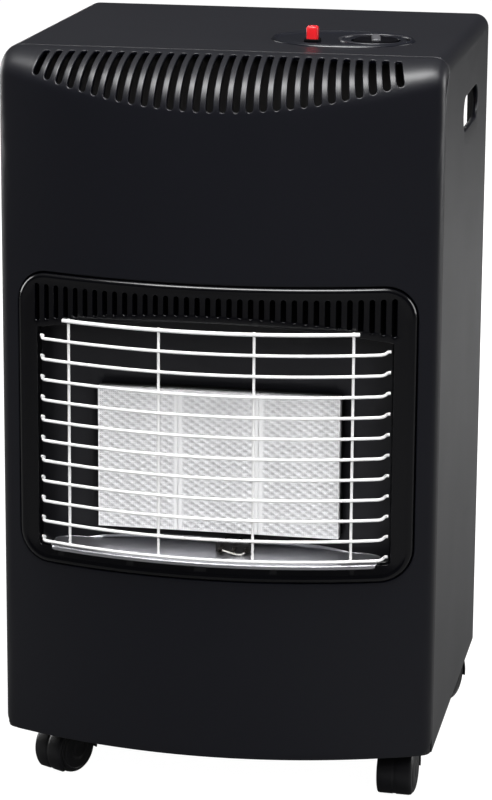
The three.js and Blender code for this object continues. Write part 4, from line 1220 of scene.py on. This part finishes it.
def burner_pan_skin():
    """The pan behind the bezel, seen from inside: walls, a rounded fold and the back with its window."""
    rows = []
    loop = bezel_loop(PAN_INSET)
    for share in (0, 0.2, 0.5, 0.8, 1):
        fold_y = (PAN_BACK - PAN_CORNER) * share
        rows.append([(x, (face_y(x) - PAN_LIP) * (1 - share) + fold_y, z) for x, z in loop])
    for step in range(1, 7):
        angle = math.pi / 2 * step / 6
        y = PAN_BACK - PAN_CORNER * (1 - math.sin(angle))
        loop = bezel_loop(PAN_INSET + PAN_CORNER * (1 - math.cos(angle)))
        rows.append([(x, y, z) for x, z in loop])
    low, high = PLAQUE_BOTTOM - WINDOW_GAP, PLAQUE_TOP + WINDOW_GAP
    window = rounded_loop(WINDOW_HALF, low, high, WINDOW_CORNER, 12, 24)
    return rimmed_plate(rows, loop, [window], 12, lambda x, z: (x, PAN_BACK, z))


pan = burner_pan_skin()
make_piece("burner_surround_pan", pan, PAN_ENAMEL, "cabinet", ["burner_surround"], SHEET)

PLAQUE_EDGE = 0.5
PLAQUE_BORDER = 0.7
RELIEF_FADE = 0.8
RELIEF_DEPTH = 1.5


def plaque_skin(x):
    """A plaque's front as a fine grid with round edges, sides and a flat back."""
    across, up = 76, 140
    left, right = x - PLAQUE_HALF + PLAQUE_EDGE, x + PLAQUE_HALF - PLAQUE_EDGE
    low, high = PLAQUE_BOTTOM + PLAQUE_EDGE, PLAQUE_TOP - PLAQUE_EDGE
    rows = [[(px, PLAQUE_FRONT, z) for px in spread(left, right, across)] for z in spread(high, low, up)]
    return roll_edges(Skin().grid(rows), PLAQUE_EDGE, PLAQUE_REAR - PLAQUE_FRONT, 3)


def plaque_mesh(x):
    """A plaque with its diamond relief, which fades out at its border and along the joint strips."""
    skin = plaque_skin(x)
    mesh = plain_mesh("plaque", skin.points, [], skin.faces)
    work = bmesh.new()
    work.from_mesh(mesh)
    bmesh.ops.holes_fill(work, edges=[e for e in work.edges if e.is_boundary], sides=0)
    bmesh.ops.recalc_face_normals(work, faces=work.faces)
    work.to_mesh(mesh)
    work.free()
    mesh.shade_smooth()
    relief = mesh.attributes.new("relief", "FLOAT", "POINT")
    for index, vertex in enumerate(mesh.vertices):
        px, pz = vertex.co.x / MM - x, vertex.co.z / MM
        front = vertex.co.y < frame_point((0, PLAQUE_FRONT + 0.05, 0))[1]
        joint = min(abs(px + x - PLAQUE_JOINT), abs(px + x + PLAQUE_JOINT)) - JOINT_LAND
        gap = min(PLAQUE_HALF - abs(px), pz - PLAQUE_BOTTOM, PLAQUE_TOP - pz, joint + PLAQUE_BORDER)
        share = min(max((gap - PLAQUE_BORDER) / RELIEF_FADE, 0), 1)
        relief.data[index].value = share if front else 0
    return grown_mesh(
        DIAMONDS,
        mesh,
        Across_Pitch=LATTICE_ACROSS * MM,
        Up_Pitch=LATTICE_UP * MM,
        Depth=RELIEF_DEPTH * MM,
        Start_X=x * MM,
        Start_Z=PLAQUE_BOTTOM * MM,
    )


for plaque_node, plaque_x in PLAQUES:
    relief_mesh = plaque_mesh(plaque_x)
    make_piece(plaque_node + "_relief", relief_mesh, CERAMIC, replaces=[plaque_node])

REFLECTOR_HALF = 158
REFLECTOR_Z = 257.2
REFLECTOR_BACK = -170
BACK_CORNER = 14
FRONT_CORNER = 7
TURNED_UP_HALF = 128
# Pairs of the depth and the rise from the shelf's rear fold, and from the front face of the cabinet.
REFLECTOR_REAR = ((6.8, 5.0), (6.4, 3.2), (5.2, 1.4), (3, 0.35), (0, 0))
REFLECTOR_LIP = ((-1.0, 0), (-2.8, -0.1), (-4.0, -0.5), (-4.9, -1.3), (-5.25, -2.4), (-5.3, -4.2))


def rounded_end(x, radius):
    """How far an edge draws in at x so that the sheet's corner is round."""
    over = min(max(0, abs(x) - REFLECTOR_HALF + radius), radius - 0.3)
    return radius - math.sqrt(radius**2 - over**2)


def reflector_skin():
    """Shelf under the plaques: an upturned rear edge, a flat run with round ends and a rolled lip."""
    columns = [REFLECTOR_HALF * math.sin(math.pi / 2 * (step / 40 - 1)) for step in range(81)]
    rows = []
    for back, rise in REFLECTOR_REAR:
        row = []
        for x in columns:
            kept = max(1 - (abs(x) / TURNED_UP_HALF) ** 4, 0.04)
            y = REFLECTOR_BACK - 4 * (abs(x) / REFLECTOR_HALF) ** 4 - rounded_end(x, BACK_CORNER) * 0.7
            row.append(Vector((x, y + back * kept, REFLECTOR_Z + rise * kept)))
        rows.append(row)
    ends = [face_y(x) + rounded_end(x, FRONT_CORNER) for x in columns]
    starts = [point.y for point in rows[-1]]
    for share in (0.2, 0.4, 0.6, 0.8):
        row = zip(columns, starts, ends)
        rows.append([(x, a + (b - 1 - a) * share, REFLECTOR_Z) for x, a, b in row])
    for out_by, drop in REFLECTOR_LIP:
        rows.append([(x, end + out_by, REFLECTOR_Z + drop) for x, end in zip(columns, ends)])
    return Skin().grid(rows)


shelf = reflector_skin()
make_piece(
    "lower_reflector_sheet", shelf, POLISHED, "cabinet", ["lower_reflector"], 0.7
)

ELECTRODE_RADIUS = 0.8


def electrode_tip_mesh():
    """The wire that bends from the electrode across the pilot burner, pale as a painted highlight."""
    bends = [(31.6, -203.5, 260.4), (27.4, -205.6, 258.6), (20, -206.4, 259.8), (10.4, -206.8, 262.6)]
    return wires([smooth_path(bends, 6)], ELECTRODE_RADIUS)


make_piece("ignition_electrode_tip", electrode_tip_mesh(), LEAD_SLEEVE_AND_HIGHLIGHT)

# ---- Controls ----

DISH_Z = 730.95
DISH_HALF_X = 69
DISH_HALF_Y = 54
# Pairs of the distance in from the dish's edge and the height over the floor.
DISH_RIM = ((0, 730.5), (0.4, 730.9), (1.9, 732.4), (2.5, 732.7), (3.0, 732.65), (3.6, 732.2), (4.7, 731.1))
DISH_RIM += ((5.4, DISH_Z),)
DISH_RETURN = 0.9
BUTTON_HOLE = (6.6, 1.6)
WELL_RADIUS = 24.6
WELL_DEPTH = 10
KNOB_RING_RADIUS = 34.6
KNOB_RING_WIRE = 1.3
FLAME_RADIUS = 31


def button_square(half, corner, z):
    """A level square with round corners about the button's axis."""
    near = half - corner
    loop = []
    for turn, (x, y) in enumerate(((near, near), (-near, near), (-near, -near), (near, -near))):
        loop += arc((BUTTON_X + x, BUTTON_Y + y), corner, 90 * turn, 90 * turn + 90, 5)
    return [Vector((x, y, z)) for x, y in loop]


def escutcheon_skin():
    """A dished oval with a raised rim, a round well for the knob and a square hole for the button."""
    rows, count = [], 96
    for inward, z in DISH_RIM:
        halves = (DISH_HALF_X - inward, DISH_HALF_Y - inward)
        loop = ellipse_loop((CONTROLS_X, CONTROLS_Y), *halves, count, 0)
        rows.append([(x, y, z) for x, y in loop])
    well = arc((KNOB_X, KNOB_Y), WELL_RADIUS, 0, 360, 48)[:-1]
    hole = [(p.x, p.y) for p in button_square(*BUTTON_HOLE, DISH_Z)]
    return rimmed_plate(rows, loop, [well, hole], 7, lambda x, y: (x, y, DISH_Z))


def escutcheon_depth(point):
    """How deep an edge goes back: the knob well's, or the rim's and the button hole's."""
    well = math.hypot(point.x - KNOB_X, point.y - KNOB_Y) < WELL_RADIUS + 1
    return WELL_DEPTH if well else DISH_RETURN


dish = roll_edges(escutcheon_skin(), TRIM_ROLL, escutcheon_depth)
make_piece(
    "control_escutcheon_dish", dish, BLACK_PLASTIC, "cabinet", ["control_escutcheon"], 0.7
)


def button_shade_collar_skin():
    """A low square collar that the button slides in, in matt black as painted shade round the button's
    foot.
    """
    foot = DISH_Z - 0.4
    rings = [(7.4, 2.0, foot), (7.3, 2.0, 733.2), (7.1, 1.9, 733.6), (6.7, 1.7, 733.7)]
    rings += [(6.2, 1.6, 733.6), (6.0, 1.5, 733.3), (6.0, 1.5, foot)]
    rows = [button_square(*ring) for ring in rings]
    skin = Skin().grid(rows, closed=True)
    count = len(rows[0])
    last = len(skin.points) - count
    for step in range(count):
        after = (step + 1) % count
        skin.faces.append([last + step, last + after, after, step])
    return skin


# Painted shade: the collar's matt black stands in for the shadow at the button's foot.
make_piece("button_collar", button_shade_collar_skin(), MATT_BLACK)


def knob_ring_mesh():
    """A thin raised ring round the knob, lighter in colour as a painted sheen."""
    ring = arc((KNOB_X, KNOB_Y), KNOB_RING_RADIUS, 0, 360, 72)
    return wires([[(x, y, DISH_Z + 0.15) for x, y in ring]], KNOB_RING_WIRE)


make_piece("knob_ring", knob_ring_mesh(), KNOB_RING_SHEEN_PLASTIC)


def flame_mark(first, last, widest):
    """A flat mark on an arc round the knob that widens to one end."""
    steps = 20
    rows = [[], []]
    for step in range(steps + 1):
        angle = math.radians(first + (last - first) * step / steps)
        half = 0.3 + widest / 2 * step / steps
        for row, radius in zip(rows, (FLAME_RADIUS - half, FLAME_RADIUS + half)):
            x, y = KNOB_X + radius * math.cos(angle), KNOB_Y + radius * math.sin(angle)
            row.append(Vector((x, y, DISH_Z + 0.06)))
    top = Skin().grid(rows)
    low = [[p - Vector((0, 0, 0.2)) for p in row] for row in rows]
    loop = rows[0] + rows[1][::-1]
    under = low[0] + low[1][::-1]
    top.grid([loop, under], closed=True)
    top.grid(low[::-1])
    return top.welded(0.01)


flames = flame_mark(150, 85, 4).join(flame_mark(-25, 30, 4))
make_piece("flame_marks", flames, MATT_BLACK)


def knob_skin():
    profile = [(5, 721.4), (20.6, 721.4), (21.3, 722.0), (21.5, 723), (21.5, 730.8), (21.2, 731.6)]
    profile += [(20.3, 732.0), (17.5, 732.0), (16.8, 731.7), (5, 731.7)]
    return lathe(profile, 64).moved(Matrix.Translation((KNOB_X, KNOB_Y, 0)))


GRIP_TURN = 9
GRIP_HALF_X = 4.4
GRIP_HALF_Y = 18.0
GRIP_ROUNDING = 0.35


def grip_skin():
    """The knob's raised bar along Y, with drawn-in sides and a rounded top."""
    rows = []
    for grow, z in ((0, 731.5), (0, 733.0), (-0.35, 733.9), (-1.0, 734.4), (-2.0, 734.6)):
        row = []
        for step in range(32):
            angle = 2 * math.pi * step / 32
            c, s = math.cos(angle), math.sin(angle)
            x = (GRIP_HALF_X + grow) * math.copysign(abs(c) ** GRIP_ROUNDING, c)
            y = (GRIP_HALF_Y + grow) * math.copysign(abs(s) ** GRIP_ROUNDING, s)
            row.append((x, y, z))
        rows.append(row)
    place = placed((KNOB_X, KNOB_Y, 0), GRIP_TURN)
    return Skin().grid(rows, closed=True).capped(32, 32).moved(place)


make_piece("knob_disc", knob_skin(), KNOB_PLASTIC, "knob", ["control_knob"])
make_piece("knob_grip", grip_skin(), GREY_GRIP, "knob")


def button_skin():
    """The square push button with round corners and a domed top."""
    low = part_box("igniter_button")[0].z / MM
    rings = [(5.2, 1.4, low), (5.4, 1.5, low + 0.4), (5.4, 1.5, 743.4), (5.2, 1.6, 744.5)]
    rings += [(4.6, 1.8, 745.3), (3.6, 1.8, 745.6), (1.8, 1.2, 745.7)]
    rows = [button_square(*ring) for ring in rings]
    return Skin().grid(rows, closed=True).capped(len(rows[0]), len(rows[0]))


make_piece("igniter_button_cap", button_skin(), RED, "igniter_button", ["igniter_button"])

# ---- Casters, each built about its stem with the wheels trailing toward +Y ----

HOOD_ANGLES = spread(-11.5, 222, 40)
AXLE = Vector((0, CASTER_TRAIL, WHEEL_RADIUS))


def around_axle(x, radius, degrees):
    angle = math.radians(degrees)
    return AXLE + Vector((x, radius * math.cos(angle), radius * math.sin(angle)))


def hood_skin():
    """The hood's band: a rounded section swept round the wheels."""
    corner = [(17.5, 25.0), (17.4, 26.2), (16.8, 27.3), (15.8, 28.1), (14.4, 28.5)]
    seam = [(2.4, 28.5), (1.6, 28.35), (1.2, 28.0)]
    inner = [(14.4, 26.0), (15.8, 25.8), (16.7, 25.2), (17.0, 24.7)]
    outside = corner + seam
    section = [(-x, r) for x, r in outside] + outside[::-1]
    section += inner[::-1] + [(0, 26.0)] + [(-x, r) for x, r in inner]
    rows = [[around_axle(x, r, angle) for x, r in section] for angle in HOOD_ANGLES]
    return Skin().grid(rows, closed=True).capped(len(section), len(section))


def web_skin():
    """The plate between the wheels, with its boss."""
    outline = [(27.0, angle) for angle in HOOD_ANGLES]
    outline += [(9, 235), (9, 285), (9, 335)]
    rows = []
    for x, shrink in ((-3, 0.6), (-2.4, 0), (2.4, 0), (3, 0.6)):
        rows.append([around_axle(x, r - shrink, a) for r, a in outline])
    web = Skin().grid(rows, closed=True).capped(len(outline), len(outline))
    boss = lathe([(6.5, -3.3), (7.5, -3.1), (7.5, 3.1), (6.5, 3.3)], 32)
    return web.join(boss.moved(placed(AXLE, 90, "Y")))


def stem_skin():
    return lathe(
        [(6.5, 48.5), (8, 49), (8, 58.5), (7.4, 60.2), (5.6, 60.5), (5, 61), (5, 79.4), (4.2, 80.4)], 32
    )


# Pairs of the radius and the distance from the caster's middle.
WHEEL_PROFILE = ((4.4, 13.8), (4.4, 3.4), (22.6, 3.4), (24.2, 3.8), (25, 4.8), (25, 10.6), (24.7, 12.6))
WHEEL_PROFILE += ((23.9, 14.6), (22.6, 16.0), (21.0, 16.7), (20.2, 16.75), (19.6, 16.3), (18.8, 16.2))
WHEEL_PROFILE += ((18.2, 16.6), (17.2, 17.1), (13.0, 17.6), (9.2, 17.9), (8.6, 17.5), (7.8, 17.5))
WHEEL_PROFILE += ((7.2, 17.9), (4.0, 18.0))


def wheel_skin(side):
    return lathe(WHEEL_PROFILE, 56).moved(placed(AXLE, 90 * side, "Y"))


for tag, (caster_x, caster_y, swivel) in CASTERS.items():
    place = placed((caster_x, caster_y, 0), swivel)
    housing = hood_skin().join(web_skin()).join(stem_skin()).moved(place)
    housing_node = "caster_housing_" + tag
    make_piece(
        housing_node + "_moulding", housing, CASTER_PLASTIC, "caster_" + tag, [housing_node]
    )
    for letter, side in (("a", 1), ("b", -1)):
        wheel_node = f"caster_wheel_{letter}_{tag}"
        wheel = wheel_skin(side).moved(place)
        wheel_body = f"wheel_{letter}_{tag}"
        make_piece(wheel_node + "_turned", wheel, TREAD, wheel_body, [wheel_node])

# ---- Rear cover and bottle partition ----

COVER_HALF = 198
COVER_BOTTOM = 62.6
COVER_TOP = 571.9
COVER_SLOTS = 6
COVER_SLOT_Z = 113
COVER_SLOT_SIZE = (60.5, 3.5)
COVER_REAR = 210.2
COVER_SLOT_PITCH = 16
# Pairs of the distance in from the cover's edge and Y.
COVER_EDGE = ((0.8, 181.4), (8.0, 181.4), (10.0, 181.9), (11.4, 183.4), (12.0, 186.0), (12.4, 204.5))
COVER_EDGE += ((13.0, 207.8), (14.6, 209.7), (17.2, COVER_REAR), (22.0, COVER_REAR))


def rear_cover_skin():
    """The lift-off cover seen from behind: a flat lip, a rounded pan and its slots."""
    rows = []
    for inset, y in COVER_EDGE:
        corner = max(26 - inset, 6)
        loop = rounded_loop(COVER_HALF - inset, COVER_BOTTOM + inset, COVER_TOP - inset, corner, 50, 40)
        rows.append([(-x, y, z) for x, z in loop])
    heights = [COVER_SLOT_Z + COVER_SLOT_PITCH * index for index in range(COVER_SLOTS)]
    slots = [stadium_loop((0, z), *COVER_SLOT_SIZE, 8, 30) for z in heights]
    return rimmed_plate(rows, loop, slots, 16, lambda x, z: (-x, COVER_REAR, z))


cover = roll_edges(rear_cover_skin(), TRIM_ROLL, 1.0)
make_piece("rear_cover_pressing", cover, BLACK_COAT, "rear_cover", ["rear_cover"], 0.9)

PARTITION_HALF = 207.5
PARTITION_Y = -106.9
PARTITION_BOTTOM = 64
PARTITION_TOP = 639.5
PARTITION_FOOT = ((-106.6, 63.3), (-105.8, 62.9), (-104.5, 62.75), (-96.2, 62.75))
BEAD_PLACES = (-120, 0, 120)
BEAD_HEIGHT = 2.4
BEAD_WIDTH = 8
BEAD_BOTTOM = 90
BEAD_TOP = 615
BEAD_FADE = 12


def partition_skin():
    """The sheet in front of the bottle, with upright pressed beads and a foot."""
    columns = [PARTITION_HALF * (step / 60 - 1) for step in range(121)]
    heights = spread(PARTITION_BOTTOM, PARTITION_TOP, 48)
    rows = []
    for z in reversed(heights):
        fade = min(max(min(z - BEAD_BOTTOM, BEAD_TOP - z) / BEAD_FADE, 0), 1)
        row = []
        for x in columns:
            away = min(abs(x - c) for c in BEAD_PLACES) / BEAD_WIDTH
            bead = max(math.cos(math.pi * min(away, 0.5) * 2), 0)
            row.append((-x, PARTITION_Y + BEAD_HEIGHT * bead * fade, z))
        rows.append(row)
    rows += [[(-x, y, z) for x in columns] for y, z in PARTITION_FOOT]
    return Skin().grid(rows)


partition = partition_skin()
make_piece(
    "bottle_partition_pressing", partition, PLATED, "cabinet", ["bottle_partition"], SHEET
)

SCREW_X = 204.2
SCREW_BOTTOM = 110
SCREW_PITCH = 180


def flange_screws_mesh():
    """Pan-head screws down both rear flanges of the shell."""
    head = lathe([(3.0, -0.3), (3.0, 0.5), (2.7, 1.1), (2.0, 1.5), (1.3, 1.65), (1.2, 0.9), (0.6, 0.9)], 14)
    head.moved(placed((-SCREW_X, SIDE_DEPTH / 2, SCREW_BOTTOM), -90, "X"))
    mesh = plain_mesh("item", head.points, [], head.faces)
    facing_out(mesh)
    mesh.shade_smooth()
    across, up = (2 * SCREW_X * MM, 0, 0), (0, 0, SCREW_PITCH * MM)
    return grown_mesh(REPEATS, mesh, Across_Count=2, Across_Step=across, Up_Count=4, Up_Step=up)


make_piece("rear_flange_screws", flange_screws_mesh(), PLATED)

# ---- Camera, light and ground ----

CAMERA_PLACE = (542.3, -2977.1, 1122.8)
CAMERA_YAW = math.radians(10.43)
CAMERA_PITCH = math.radians(14.19)
CAMERA_ROLL = math.radians(0.40)
FOCAL_PIXELS = 3107.8
PHOTO_HEIGHT = 800


def camera():
    """The photograph's view: a place, three turns and a focal length."""
    data = bpy.data.cameras.new("camera")
    data.sensor_width = 36
    data.lens = FOCAL_PIXELS / PHOTO_HEIGHT * data.sensor_width
    seen = new_object("camera", data)
    level = Vector((math.cos(CAMERA_YAW), math.sin(CAMERA_YAW), 0))
    ahead = Vector((-math.sin(CAMERA_YAW), math.cos(CAMERA_YAW), 0))
    forward = ahead * math.cos(CAMERA_PITCH) - Vector((0, 0, math.sin(CAMERA_PITCH)))
    upright = level.cross(forward)
    right = level * math.cos(CAMERA_ROLL) + upright * math.sin(CAMERA_ROLL)
    up = upright * math.cos(CAMERA_ROLL) - level * math.sin(CAMERA_ROLL)
    turn = Matrix((right, up, -forward)).transposed().to_4x4()
    seen.matrix_world = Matrix.Translation(frame_point(CAMERA_PLACE)) @ turn
    bpy.context.scene.camera = seen


def area_light(name, place, target, size, power, gloss=True, diffuse=True):
    data = bpy.data.lights.new(name, "AREA")
    data.shape = "RECTANGLE"
    data.size, data.size_y = size
    data.energy = power
    lamp = new_object(name, data)
    lamp.location = place
    lamp.rotation_euler = (Vector(target) - Vector(place)).to_track_quat("-Z", "Y").to_euler()
    lamp.visible_camera = False
    lamp.visible_glossy = gloss
    lamp.visible_diffuse = diffuse


SKY_HORIZON = 0.025
SKY_CEILING = 0.35
SKY_RISE = (0.3, 0.95)
FLOOR_TONE = 0.09
FLOOR_LIFT = 0.98
FLOOR_HALF = 9000
GLOSS_SHARE = 0.02


def shown_share(tree):
    """How much of the white backdrop a ray sees: all for the camera and through glass, some in gloss."""
    path = add_node(tree, "ShaderNodeLightPath").outputs
    clear = calc(tree, "MAXIMUM", path["Is Camera Ray"], path["Is Transmission Ray"])
    return calc(tree, "MAXIMUM", clear, calc(tree, "MULTIPLY", path["Is Glossy Ray"], GLOSS_SHARE))


def sky():
    """White for the camera; for the object a dim horizon under a brighter ceiling."""
    world = bpy.data.worlds.new("studio")
    bpy.context.scene.world = world
    world.use_nodes = True
    tree = world.node_tree
    where = add_node(tree, "ShaderNodeTexCoord").outputs["Generated"]
    height = add_node(tree, "ShaderNodeSeparateXYZ", {"Vector": where}).outputs["Z"]
    rise = {"Value": height, "From Min": SKY_RISE[0], "From Max": SKY_RISE[1]}
    rise |= {"To Min": SKY_HORIZON, "To Max": SKY_CEILING}
    dim = add_node(tree, "ShaderNodeMapRange", rise).outputs["Result"]
    pick = {"Factor": shown_share(tree), "A": dim, "B": 1}
    pick = add_node(tree, "ShaderNodeMix", pick, data_type="FLOAT").outputs["Result"]
    feed(tree, tree.nodes["Background"], {"Color": (1, 1, 1, 1), "Strength": pick})


def ground():
    """A plain floor that the camera sees as white, with the object's soft shadow kept."""
    turns = ((-1, -1), (1, -1), (1, 1), (-1, 1))
    mesh = plain_mesh("floor", [(x * FLOOR_HALF, y * FLOOR_HALF, 0) for x, y in turns], [], [[0, 1, 2, 3]])
    plane = new_object("floor", mesh)
    pale = bpy.data.materials.new("floor paint")
    pale.use_nodes = True
    tree = pale.node_tree
    looks = {"Base Color": (FLOOR_TONE, FLOOR_TONE, FLOOR_TONE, 1), "Roughness": 0.8}
    looks |= {"Specular IOR Level": 0.1, "Emission Color": (1, 1, 1, 1)}
    looks |= {"Emission Strength": calc(tree, "MULTIPLY", shown_share(tree), FLOOR_LIFT)}
    feed(tree, tree.nodes["Principled BSDF"], looks)
    mesh.materials.append(pale)


camera()
sky()
ground()
area_light("ceiling_softbox", (0.0, -0.8, 2.5), (0, -0.15, 0.6), (1.8, 1.0), 66)
area_light("right_softbox", (1.6, -2.6, 1.7), (0.1, 0, 0.4), (1.0, 1.4), 58, gloss=False)
area_light("left_softbox", (-0.7, -3.0, 1.9), (-0.1, 0, 0.4), (1.0, 1.2), 44, gloss=False)
area_light("rear_floor_lamp", (0.8, 2.5, 2.2), (0.6, 2.3, 0), (1.8, 1.8), 310, gloss=False)
area_light("right_side_softbox", (2.6, 0.9, 1.0), (0.2, 0.1, 0.45), (1.6, 1.4), 44, diffuse=False)
area_light("left_side_softbox", (-2.6, 0.9, 1.0), (-0.2, 0.1, 0.45), (1.6, 1.4), 44, diffuse=False)
area_light("rear_softbox", (-0.9, 2.8, 0.38), (0, 0.2, 0.4), (1.6, 0.6), 24, diffuse=False)
area_light("overhead_strip", (0.0, -0.62, 2.6), (0, -0.2, 0.7), (2.4, 0.3), 34, diffuse=False)

bpy.context.scene.view_settings.view_transform = "Standard"
